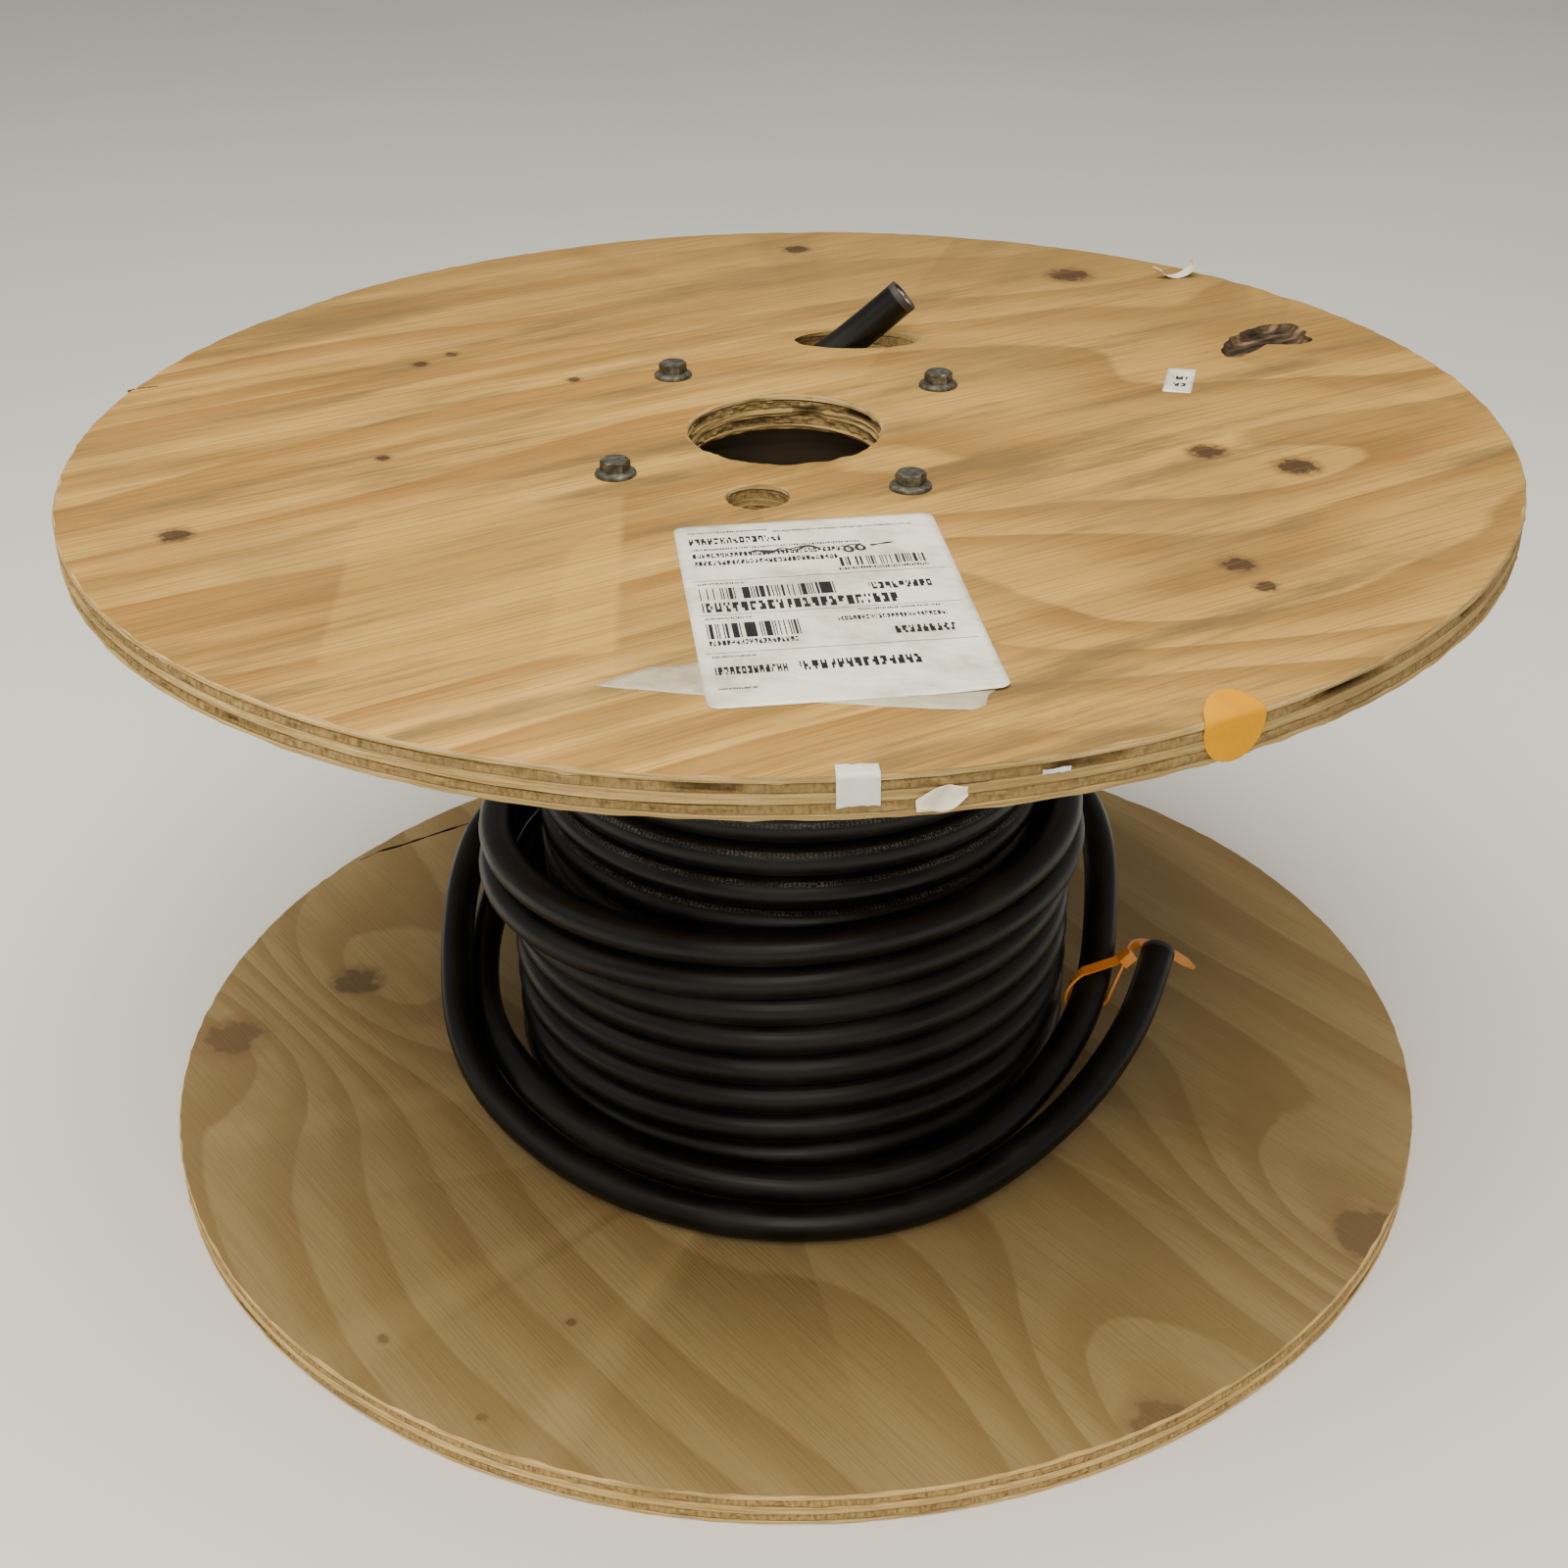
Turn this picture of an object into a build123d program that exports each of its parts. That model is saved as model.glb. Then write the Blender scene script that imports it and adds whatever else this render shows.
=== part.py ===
"""A plywood wire spool, 24 inches across, that holds a part length of round jacketed cable.

Two plywood flanges grip a fibre core between them, and four through bolts with tee nuts clamp
the three together. The cable starts through a slanted slot in the top flange. It is wound
anticlockwise as seen from above, once down the core and part of the way up again. Two loose
turns and a free end lie round it, with a strap tie on them.

Units are millimetres. The origin is the centre of the bottom flange's underside, +Z runs up
the spool's axis, and -Y is the side that the shipping label reads from.
"""

import os
from math import cos, pi, radians, sin, tan

from build123d import *

# ---- spool ----
flange_diameter = 609.6
flange_thickness = 15.9
flange_edge_wear = 1.0
traverse = 304.8
core_diameter = 203.2
core_wall = 9.5
core_seat_depth = 4.8
seat_clearance = 0.15
arbor_diameter = 82.6
drive_hole_diameter = 25.4
drive_hole_x = -11.0
drive_hole_y = -76.5

# ---- start slot: a bit driven through the top flange at a slant ----
slot_width = 27.0
slot_slant = 27.0
slot_x = 36.5
slot_y = 118.0

# ---- through bolts ----
bolt_count = 4
nut_core_gap = 0.9
bolt_first_angle = 36.0
bolt_diameter = 7.94
bolt_clearance = 0.4
bolt_head_across_flats = 12.7
bolt_head_height = 8.2
bolt_head_chamfer = 0.7
bolt_washer_diameter = 17.3
bolt_washer_thickness = 1.8
bolt_washer_taper = 12.0
nut_flange_diameter = 22.0
nut_flange_thickness = 1.6
nut_barrel_diameter = 10.4
nut_barrel_length = 11.0
nut_recess = 0.6
thread_clearance = 0.08
bolt_end_inset = 3.0

# ---- cable ----
cable_diameter = 16.3
jacket_wall_share = 0.117
wrap_clearance = 0.3
cut_recess = 8.0
wire_share = 0.3
wire_setback = 0.8
wire_clearance = 0.15
power_wire_count = 3
ground_wire_angle = 270.0

# The outer layer's last tight turn: the side it leaves the winding on, as an angle anticlockwise
# from +X, and the clear height under it there, above the bottom flange. The notch that it leaves
# through has its floor at a height above the bottom flange, and a length.
outlet_angle = 45.0
outlet_height = 135.95
outlet_floor = 129.1
outlet_length = 105.0

# Points of the loose turns' route, from where the cable leaves the winding to its cut end. The third
# number is the clear height under the cable, above the bottom flange.
loose_turn_points = [
    (89.6, 89.6, 135.95),
    (57, 122.2, 135.95),
    (17, 141, 132.95),
    (-23, 147, 124.95),
    (-63, 141, 112.95),
    (-97, 124, 96.95),
    (-125, 98, 76.95),
    (-146, 66, 54.95),
    (-157, 31, 32.95),
    (-155, -5, 19.95),
    (-145, -36, 15.95),
    (-131, -62, 15.95),
    (-116, -87.5, 17.95),
    (-91, -113.5, 16.95),
    (-59, -133, 14.95),
    (-25, -143, 13.45),
    (10, -145, 11.45),
    (44, -138.5, 11.95),
    (73, -126, 14.45),
    (98, -108, 19.45),
    (118, -86, 26.95),
    (135, -60, 34.95),
    (147, -31, 44.95),
    (153, 2, 57.95),
    (157, 39, 72.95),
    (153, 76, 81.95),
    (137, 110, 84.95),
    (109, 140, 84.95),
    (72, 162, 83.95),
    (31, 174, 81.95),
    (-12, 176, 79.95),
    (-57, 168, 77.95),
    (-101, 147, 74.95),
    (-138, 117, 72.95),
    (-160, 85, 67.95),
    (-167, 51, 56.95),
    (-168, 20, 44.95),
    (-166, -9, 33.95),
    (-161, -38, 23.45),
    (-148, -68, 12.95),
    (-125, -95, 4.45),
    (-97, -120, 0.75),
    (-64, -141, 0.25),
    (-28, -154, 0.15),
    (11, -157.5, 0.15),
    (49, -150.5, 0.35),
    (79, -137, 2.95),
    (107, -119, 10.45),
    (133, -96, 19.45),
    (154, -69, 28.95),
    (170, -40, 37.95),
    (180, -12, 45.95),
]

# Points of the start's route, from its cut end above the top flange down the slot to the first
# turn, with heights above the top face, and the length and width of the notch that it leaves there.
start_points = [
    (57.5, 118, 21),
    (27, 118, -5.6),
    (-2, 114.5, -21.6),
    (-31, 107.5, -27),
    (-60, 93.5, -27.2),
]
start_notch_length = 100.0
start_notch_width = 65.0

# Share of the shorter run beside a point that its bend takes up.
bend_share = 0.45

# ---- strap tie round the loose turn on the right, halfway along one run of its route ----
tie_run = 21
tie_width = 4.8
tie_thickness = 1.3
tie_slack = 8.0
tie_clearance = 0.8
tie_lift = 38.0
tie_head_length = 7.5
tie_head_height = 5.5
tie_tail_length = 34.0

# ---- paper ----
label_width = 101.6
label_height = 152.4
label_thickness = 0.2
label_x = 15.3
label_y = -178.0
label_turn = 6.5
old_label_outline = [(-65, -241), (-47, -226), (-10, -222), (66, -232), (64, -262), (19, -257), (-28, -249)]
price_label_width = 12.5
price_label_height = 30.0
price_label_x = 178.0
price_label_y = 51.0
price_label_turn = -14.0
dot_diameter = 25.4
dot_angle = -61.7
edge_tape_width = 14.0
edge_tape_height = 11.0
edge_tape_angle = -86.0
edge_tape_fold = 6.0
masking_tape_width = 16.0
masking_tape_height = 6.5
masking_tape_angle = -81.1
masking_tape_drop = 9.0
masking_tape_turn = 12.0
staple_width = 9.5
staple_height = 1.6
staple_angle = -74.0
staple_drop = 5.0
scrap_width = 9.0
scrap_radius = 9.0
scrap_x = 200.0
scrap_y = 212.0
scrap_turn = 22.0
scrap_curl_height = 6.3

# ---- worked out from the sizes above ----
flange_radius = flange_diameter / 2
arbor_radius = arbor_diameter / 2
core_radius = core_diameter / 2
core_inner_radius = core_radius - core_wall
bolt_circle_radius = core_inner_radius - nut_core_gap - nut_barrel_diameter / 2
top_flange_base = flange_thickness + traverse
spool_height = top_flange_base + flange_thickness
bolt_radius = bolt_diameter / 2
bolt_hole_radius = bolt_radius + bolt_clearance
nut_hole_radius = nut_barrel_diameter / 2 + seat_clearance
spotface_radius = nut_flange_diameter / 2 + bolt_clearance
nut_seat = nut_recess + nut_flange_thickness
cable_radius = cable_diameter / 2
jacket_bore_radius = cable_radius - jacket_wall_share * cable_diameter
wire_diameter = wire_share * cable_diameter
winding_inner_radius = core_radius + wrap_clearance
first_layer_radius = winding_inner_radius + cable_diameter
second_layer_radius = first_layer_radius + cable_diameter
second_layer_top = flange_thickness + outlet_height + cable_diameter + wrap_clearance
wire_circle_radius = jacket_bore_radius - wire_diameter / 2 - wire_clearance
lowest_cable_centre = flange_thickness + cable_radius
loose_route = [(x, y, lowest_cable_centre + height) for x, y, height in loose_turn_points]
start_route = [(x, y, spool_height + height) for x, y, height in start_points]

bottom = Plane.XY
bottom_flange_face = Plane.XY.offset(flange_thickness)
top_flange_underside = Plane.XY.offset(top_flange_base)
top_face = Plane.XY.offset(spool_height)


def save(node, name):
    """Label a finished piece and write it as one STEP file."""
    node.part.label = name
    export_step(node.part, f"parts/{name}.step")


def bend_radii(route):
    """Radius at each inner point: a share of the shorter run beside it over tan(half the turn)."""
    radii = []
    for before, here, after in zip(route, route[1:], route[2:]):
        run_in = Vector(*here) - Vector(*before)
        run_out = Vector(*after) - Vector(*here)
        half_turn = radians(run_in.get_angle(run_out) / 2)
        radii.append(bend_share * min(run_in.length, run_out.length) / tan(half_turn))
    return radii


def towards(start, end):
    """Plane at start that faces end, with its y axis upward."""
    direction = Vector(*end) - Vector(*start)
    return Plane(origin=start, x_dir=Vector(0, 0, 1).cross(direction), z_dir=direction)


def rim_frame(angle):
    """Plane on the top flange's rim at an angle, its normal outward and its y axis up."""
    outward = (cos(radians(angle)), sin(radians(angle)), 0)
    sideways = (-sin(radians(angle)), cos(radians(angle)), 0)
    return Plane(
        origin=(flange_radius * outward[0], flange_radius * outward[1], spool_height),
        x_dir=sideways,
        z_dir=outward,
    )


os.makedirs("parts", exist_ok=True)

# ---- bottom flange: arbor and drive holes, core seat, counterbored holes for the tee nuts ----
with BuildPart() as bottom_flange:
    with BuildSketch(bottom):
        Circle(flange_radius)
        Circle(arbor_radius, mode=Mode.SUBTRACT)
        with Locations((drive_hole_x, drive_hole_y)):
            Circle(drive_hole_diameter / 2, mode=Mode.SUBTRACT)
        with PolarLocations(bolt_circle_radius, bolt_count, start_angle=bolt_first_angle):
            Circle(nut_hole_radius, mode=Mode.SUBTRACT)
    extrude(amount=flange_thickness)
    with BuildSketch(bottom_flange_face):
        Circle(core_radius + seat_clearance)
        Circle(core_inner_radius - seat_clearance, mode=Mode.SUBTRACT)
    extrude(amount=-core_seat_depth, mode=Mode.SUBTRACT)
    with BuildSketch(bottom):
        with PolarLocations(bolt_circle_radius, bolt_count, start_angle=bolt_first_angle):
            Circle(spotface_radius)
    extrude(amount=nut_seat, mode=Mode.SUBTRACT)
    rim = bottom_flange.edges().filter_by(GeomType.CIRCLE).sort_by(lambda edge: edge.radius)[-2:]
    fillet(rim, radius=flange_edge_wear)
save(bottom_flange, "bottom_flange")

# ---- top flange: the same holes, and the slanted slot that the cable starts through ----
slot_direction = (cos(radians(slot_slant)), 0, sin(radians(slot_slant)))
slot_plane = Plane(origin=(slot_x, slot_y, spool_height), z_dir=slot_direction)
slot_reach = (flange_thickness + slot_width) / sin(radians(slot_slant))

with BuildPart() as top_flange:
    with BuildSketch(top_flange_underside):
        Circle(flange_radius)
        Circle(arbor_radius, mode=Mode.SUBTRACT)
        with Locations((drive_hole_x, drive_hole_y)):
            Circle(drive_hole_diameter / 2, mode=Mode.SUBTRACT)
        with PolarLocations(bolt_circle_radius, bolt_count, start_angle=bolt_first_angle):
            Circle(bolt_hole_radius, mode=Mode.SUBTRACT)
    extrude(amount=flange_thickness)
    rim = top_flange.edges().filter_by(GeomType.CIRCLE).sort_by(lambda edge: edge.radius)[-2:]
    fillet(rim, radius=flange_edge_wear)
    with BuildSketch(top_flange_underside):
        Circle(core_radius + seat_clearance)
        Circle(core_inner_radius - seat_clearance, mode=Mode.SUBTRACT)
    extrude(amount=core_seat_depth, mode=Mode.SUBTRACT)
    with BuildSketch(slot_plane):
        Circle(slot_width / 2)
    extrude(amount=slot_reach, both=True, mode=Mode.SUBTRACT)
save(top_flange, "top_flange")

# ---- core: a fibre tube seated in a groove of each flange ----
with BuildPart() as core_tube:
    with BuildSketch(bottom_flange_face.offset(-core_seat_depth)):
        Circle(core_radius)
        Circle(core_inner_radius, mode=Mode.SUBTRACT)
    extrude(amount=traverse + 2 * core_seat_depth)
save(core_tube, "core_tube")

# ---- through bolts with flanged hex heads, and the tee nuts that they screw into ----
for index in range(bolt_count):
    angle = radians(bolt_first_angle + index * 360 / bolt_count)
    bolt_axis = (bolt_circle_radius * cos(angle), bolt_circle_radius * sin(angle))

    with BuildPart() as through_bolt:
        with BuildSketch(bottom.offset(bolt_end_inset)):
            with Locations(bolt_axis):
                Circle(bolt_radius)
        extrude(amount=spool_height - bolt_end_inset)
        with BuildSketch(top_face):
            with Locations(bolt_axis):
                Circle(bolt_washer_diameter / 2)
        extrude(amount=bolt_washer_thickness, taper=bolt_washer_taper)
        with BuildSketch(top_face.offset(bolt_washer_thickness)):
            with Locations(bolt_axis):
                RegularPolygon(bolt_head_across_flats / 2, 6, major_radius=False)
        extrude(amount=bolt_head_height - bolt_washer_thickness)
        chamfer(through_bolt.faces().sort_by(Axis.Z)[-1].edges(), length=bolt_head_chamfer)
    save(through_bolt, f"through_bolt_{index + 1}")

    with BuildPart() as tee_nut:
        with BuildSketch(bottom.offset(nut_recess)):
            with Locations(bolt_axis):
                Circle(nut_flange_diameter / 2)
        extrude(amount=nut_flange_thickness)
        with BuildSketch(bottom.offset(nut_seat)):
            with Locations(bolt_axis):
                Circle(nut_barrel_diameter / 2)
        extrude(amount=nut_barrel_length)
        with BuildSketch(bottom.offset(nut_recess)):
            with Locations(bolt_axis):
                Circle(bolt_radius + thread_clearance)
        extrude(amount=nut_flange_thickness + nut_barrel_length, mode=Mode.SUBTRACT)
    save(tee_nut, f"tee_nut_{index + 1}")

# ---- winding: the outer shape of each layer, with a notch where an end of the cable leaves it ----
with BuildPart() as cable_first_layer:
    with BuildSketch(bottom_flange_face):
        Circle(first_layer_radius)
        Circle(winding_inner_radius, mode=Mode.SUBTRACT)
    extrude(amount=traverse)
    with BuildSketch(towards(start_route[-1], start_route[-2])):
        with Locations((0, cable_radius)):
            Rectangle(start_notch_width, 2 * cable_diameter + 2 * wrap_clearance)
    extrude(amount=start_notch_length, mode=Mode.SUBTRACT)
save(cable_first_layer, "cable_first_layer")

with BuildPart() as cable_second_layer:
    with BuildSketch(bottom_flange_face):
        Circle(second_layer_radius)
        Circle(first_layer_radius, mode=Mode.SUBTRACT)
    extrude(amount=second_layer_top - flange_thickness)
    with BuildSketch(bottom_flange_face.offset(outlet_floor).rotated((0, 0, outlet_angle - 90))):
        with Locations((-outlet_length / 2, second_layer_radius / 2)):
            Rectangle(outlet_length, second_layer_radius)
    extrude(amount=second_layer_top - flange_thickness - outlet_floor, mode=Mode.SUBTRACT)
save(cable_second_layer, "cable_second_layer")

# ---- free lengths of the cable: a tube along each route, bored out at its cut end ----
with BuildPart() as cable_loose_turn:
    with BuildLine() as loose_line:
        FilletPolyline(*loose_route, radius=bend_radii(loose_route))
    with BuildSketch(towards(loose_route[0], loose_route[1])):
        Circle(cable_radius)
    sweep(path=loose_line.line)
    with BuildSketch(towards(loose_route[-1], loose_route[-2])):
        Circle(jacket_bore_radius)
    extrude(amount=cut_recess, mode=Mode.SUBTRACT)
save(cable_loose_turn, "cable_loose_turn")

with BuildPart() as cable_start:
    with BuildLine() as start_line:
        FilletPolyline(*start_route, radius=bend_radii(start_route))
    with BuildSketch(towards(start_route[0], start_route[1])):
        Circle(cable_radius)
    sweep(path=start_line.line)
    with BuildSketch(towards(start_route[0], start_route[1])):
        Circle(jacket_bore_radius)
    extrude(amount=cut_recess, mode=Mode.SUBTRACT)
save(cable_start, "cable_start")

# ---- wires inside each cut end: three insulated power wires and one ground wire ----
for end_name, cut_end in (
    ("start", towards(start_route[0], start_route[1])),
    ("free_end", towards(loose_route[-1], loose_route[-2])),
):
    with BuildPart() as power_wires:
        with BuildSketch(cut_end.offset(wire_setback)):
            with PolarLocations(wire_circle_radius, power_wire_count, angular_range=ground_wire_angle):
                Circle(wire_diameter / 2)
        extrude(amount=cut_recess - wire_setback)
    save(power_wires, f"{end_name}_power_wires")

    with BuildPart() as ground_wire:
        with BuildSketch(cut_end.offset(wire_setback)):
            with PolarLocations(wire_circle_radius, 1, start_angle=ground_wire_angle):
                Circle(wire_diameter / 2)
        extrude(amount=cut_recess - wire_setback)
    save(ground_wire, f"{end_name}_ground_wire")

# ---- strap tie: a slack loop, its locking head and its tail, moulded in one ----
tie_run_start = Vector(*loose_route[tie_run])
tie_along = Vector(*loose_route[tie_run + 1]) - tie_run_start
tie_centre = tie_run_start + tie_along / 2
tie_outward = tie_along.cross(Vector(0, 0, 1)).normalized()
tie_upward = tie_outward.cross(tie_along).normalized()
tie_reach = tie_outward * cos(radians(tie_lift)) + tie_upward * sin(radians(tie_lift))
tie_plane = Plane(origin=tie_centre, x_dir=tie_reach, z_dir=tie_along)
tie_bore = cable_diameter + 2 * tie_clearance
tie_end = tie_slack + tie_bore / 2 + tie_thickness

with BuildPart() as cable_tie:
    with BuildSketch(tie_plane):
        with Locations((tie_slack / 2, 0)):
            SlotCenterToCenter(tie_slack, tie_bore + 2 * tie_thickness)
            SlotCenterToCenter(tie_slack, tie_bore, mode=Mode.SUBTRACT)
    extrude(amount=tie_width / 2, both=True)
    with BuildSketch(tie_plane):
        with Locations((tie_end + tie_head_length / 2 - tie_thickness, 0)):
            Rectangle(tie_head_length, tie_head_height)
        with Locations((tie_end + tie_tail_length / 2, 0)):
            Rectangle(tie_tail_length, tie_thickness)
    extrude(amount=tie_width / 2, both=True)
save(cable_tie, "cable_tie")

# ---- shipping label, and what is left of an older one under its corners ----
label_place = Location((label_x, label_y, 0), (0, 0, label_turn))

with BuildPart() as shipping_label:
    with BuildSketch(top_face):
        with Locations(label_place):
            Rectangle(label_width, label_height)
    extrude(amount=label_thickness)
save(shipping_label, "shipping_label")

with BuildPart() as old_label:
    with BuildSketch(top_face):
        with BuildLine():
            Polyline(*old_label_outline, close=True)
        make_face()
        with Locations(label_place):
            Rectangle(label_width, label_height, mode=Mode.SUBTRACT)
    extrude(amount=label_thickness)
save(old_label, "old_label")

# ---- price label ----
with BuildPart() as price_label:
    with BuildSketch(top_face):
        with Locations(Location((price_label_x, price_label_y, 0), (0, 0, price_label_turn))):
            Rectangle(price_label_width, price_label_height)
    extrude(amount=label_thickness)
save(price_label, "price_label")

# ---- paper on the rim: one thin skin over rim and top face, cut to each piece's outline ----
with BuildPart() as rim_skin:
    with BuildSketch(Plane.XZ):
        with BuildLine():
            Polyline(
                (flange_radius - dot_diameter, spool_height),
                (flange_radius - dot_diameter, spool_height + label_thickness),
                (flange_radius + label_thickness, spool_height + label_thickness),
                (flange_radius + label_thickness, top_flange_base + flange_edge_wear),
                (flange_radius, top_flange_base + flange_edge_wear),
                (flange_radius, spool_height),
                close=True,
            )
        make_face()
    revolve(axis=Axis.Z)

with BuildPart() as dot_sticker:
    with BuildSketch(rim_frame(dot_angle)):
        Circle(dot_diameter / 2)
    extrude(amount=dot_diameter, both=True)
    with BuildSketch(rim_frame(dot_angle).rotated((90, 0, 0))):
        Circle(dot_diameter / 2)
    extrude(amount=dot_diameter, both=True, mode=Mode.INTERSECT)
    add(rim_skin.part, mode=Mode.INTERSECT)
save(dot_sticker, "dot_sticker")

masking_tape_place = Location((0, -masking_tape_drop, 0), (0, 0, masking_tape_turn))

for name, angle, place, width, height in (
    ("edge_tape", edge_tape_angle, Location(), edge_tape_width, 2 * edge_tape_height),
    ("masking_tape", masking_tape_angle, masking_tape_place, masking_tape_width, masking_tape_height),
    ("staple", staple_angle, Location((0, -staple_drop, 0)), staple_width, staple_height),
):
    with BuildPart() as rim_paper:
        with BuildSketch(rim_frame(angle)):
            with Locations(place):
                Rectangle(width, height)
        extrude(amount=edge_tape_fold, both=True)
        add(rim_skin.part, mode=Mode.INTERSECT)
    save(rim_paper, name)

# ---- curled scrap of backing paper at the far edge ----
scrap_plane = Plane(
    origin=(scrap_x, scrap_y, spool_height + scrap_radius + label_thickness),
    x_dir=(cos(radians(scrap_turn)), sin(radians(scrap_turn)), 0),
    z_dir=(sin(radians(scrap_turn)), -cos(radians(scrap_turn)), 0),
)

with BuildPart() as paper_scrap:
    with BuildSketch(scrap_plane):
        Circle(scrap_radius + label_thickness)
        Circle(scrap_radius, mode=Mode.SUBTRACT)
        with Locations((0, scrap_curl_height)):
            Rectangle(3 * scrap_radius, 2 * scrap_radius, mode=Mode.SUBTRACT)
    extrude(amount=scrap_width)
save(paper_scrap, "paper_scrap")

# ---- the routes' smallest bends, and each tube's volume beside its section times its length ----
cable_section = pi * cable_radius**2
for name, node, route, line in (
    ("loose turns", cable_loose_turn, loose_route, loose_line.line),
    ("start", cable_start, start_route, start_line.line),
):
    radii = bend_radii(route)
    length = sum(edge.length for edge in line.edges())
    full_volume = node.part.volume + pi * jacket_bore_radius**2 * cut_recess
    print(name, "length", round(length, 1), "radii", [round(radius) for radius in radii])
    print("  least radius in diameters", round(min(radii) / cable_diameter, 1))
    print("  volume over section times length", round(full_volume / (cable_section * length), 4))
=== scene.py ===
"""Looks of a plywood wire spool, 24 inches across, with a part length of thick black cable.

Lengths are metres in the spool's own frame: the origin is the centre of the bottom flange's
underside and +Z runs up the axis. Shapes are worked out with numpy, either as grids of two
parameters or as flat faces between outlines.
"""

from math import ceil, cos, pi, radians, sin, tan

import bmesh
import bpy
import numpy as np
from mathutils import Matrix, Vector
from mathutils.geometry import delaunay_2d_cdt


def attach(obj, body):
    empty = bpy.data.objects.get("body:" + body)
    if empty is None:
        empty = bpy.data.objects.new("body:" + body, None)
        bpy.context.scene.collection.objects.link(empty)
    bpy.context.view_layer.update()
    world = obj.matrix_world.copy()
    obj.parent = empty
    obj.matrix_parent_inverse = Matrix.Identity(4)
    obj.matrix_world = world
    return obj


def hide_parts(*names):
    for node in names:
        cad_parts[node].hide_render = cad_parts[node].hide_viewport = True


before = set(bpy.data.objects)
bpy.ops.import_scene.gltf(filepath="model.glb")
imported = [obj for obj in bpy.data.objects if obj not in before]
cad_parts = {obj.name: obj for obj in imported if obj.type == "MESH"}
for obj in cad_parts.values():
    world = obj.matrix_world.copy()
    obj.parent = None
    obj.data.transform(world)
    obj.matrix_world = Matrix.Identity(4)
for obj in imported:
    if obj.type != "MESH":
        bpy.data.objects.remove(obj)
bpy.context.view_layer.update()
MM = 0.001

# ---- sizes shared with the solid model ----
FLANGE_RADIUS = 304.8 * MM
FLANGE_THICKNESS = 15.9 * MM
SPOOL_HEIGHT = 336.6 * MM
TOP_BASE = SPOOL_HEIGHT - FLANGE_THICKNESS
ARBOR_RADIUS = 41.3 * MM
DRIVE_HOLE_RADIUS = 12.7 * MM
DRIVE_HOLE_AT = np.array([-11.0, -76.5]) * MM
SLOT_RADIUS = 13.5 * MM
SLOT_SLANT = radians(27)
SLOT_AT = np.array([36.5, 118.0]) * MM
BOLT_CIRCLE = 86.0 * MM
BOLT_ANGLES = [radians(36 + 90 * index) for index in range(4)]
SPOTFACE_RADIUS = 11.4 * MM
SPOTFACE_DEPTH = 2.2 * MM
CABLE_DIAMETER = 16.3 * MM
CABLE_RADIUS = CABLE_DIAMETER / 2
JACKET_BORE = CABLE_RADIUS - 0.117 * CABLE_DIAMETER
WIRE_RADIUS = 0.15 * CABLE_DIAMETER
WIRE_CIRCLE = JACKET_BORE - WIRE_RADIUS - 0.15 * MM
LOWEST_CENTRE = FLANGE_THICKNESS + CABLE_RADIUS

# Points of the loose turns' route; the third number is the clear height under the cable.
LOOSE_TURN_POINTS = [
    (89.6, 89.6, 135.95), (57, 122.2, 135.95), (17, 141, 132.95), (-23, 147, 124.95),
    (-63, 141, 112.95), (-97, 124, 96.95), (-125, 98, 76.95), (-146, 66, 54.95), (-157, 31, 32.95),
    (-155, -5, 19.95), (-145, -36, 15.95), (-131, -62, 15.95), (-116, -87.5, 17.95),
    (-91, -113.5, 16.95), (-59, -133, 14.95), (-25, -143, 13.45), (10, -145, 11.45),
    (44, -138.5, 11.95), (73, -126, 14.45), (98, -108, 19.45), (118, -86, 26.95), (135, -60, 34.95),
    (147, -31, 44.95), (153, 2, 57.95), (157, 39, 72.95), (153, 76, 81.95), (137, 110, 84.95),
    (109, 140, 84.95), (72, 162, 83.95), (31, 174, 81.95), (-12, 176, 79.95), (-57, 168, 77.95),
    (-101, 147, 74.95), (-138, 117, 72.95), (-160, 85, 67.95), (-167, 51, 56.95), (-168, 20, 44.95),
    (-166, -9, 33.95), (-161, -38, 23.45), (-148, -68, 12.95), (-125, -95, 4.45), (-97, -120, 0.75),
    (-64, -141, 0.25), (-28, -154, 0.15), (11, -157.5, 0.15), (49, -150.5, 0.35), (79, -137, 2.95),
    (107, -119, 10.45), (133, -96, 19.45), (154, -69, 28.95), (170, -40, 37.95), (180, -12, 45.95),
]

# Points of the start's route, with heights above the top face.
START_POINTS = [
    (57.5, 118, 21),
    (27, 118, -5.6),
    (-2, 114.5, -21.6),
    (-31, 107.5, -27),
    (-60, 93.5, -27.2),
]
loose_route = np.array(LOOSE_TURN_POINTS) * MM + [0, 0, LOWEST_CENTRE]
start_route = np.array(START_POINTS) * MM + [0, 0, SPOOL_HEIGHT]


# ---- camera and lights ----
camera = bpy.data.objects.new("camera", bpy.data.cameras.new("camera"))
camera.data.lens = 49.13
camera.data.sensor_width = 36
camera.data.shift_x = 0.020
camera.data.shift_y = 0.0411
camera.location = (-0.0010, -0.8808, 0.6639)
camera.rotation_euler = (radians(58.511), radians(1.124), radians(0.401))
bpy.context.scene.collection.objects.link(camera)
bpy.context.scene.camera = camera


def soft_light(name, place, aim, size, power, tint):
    """A square area light at place that faces aim."""
    light = bpy.data.lights.new(name, "AREA")
    light.size = size
    light.energy = power
    light.color = tint
    lamp = bpy.data.objects.new(name, light)
    lamp.location = place
    lamp.rotation_euler = (Vector(aim) - Vector(place)).to_track_quat("-Z", "Y").to_euler()
    bpy.context.scene.collection.objects.link(lamp)


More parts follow.
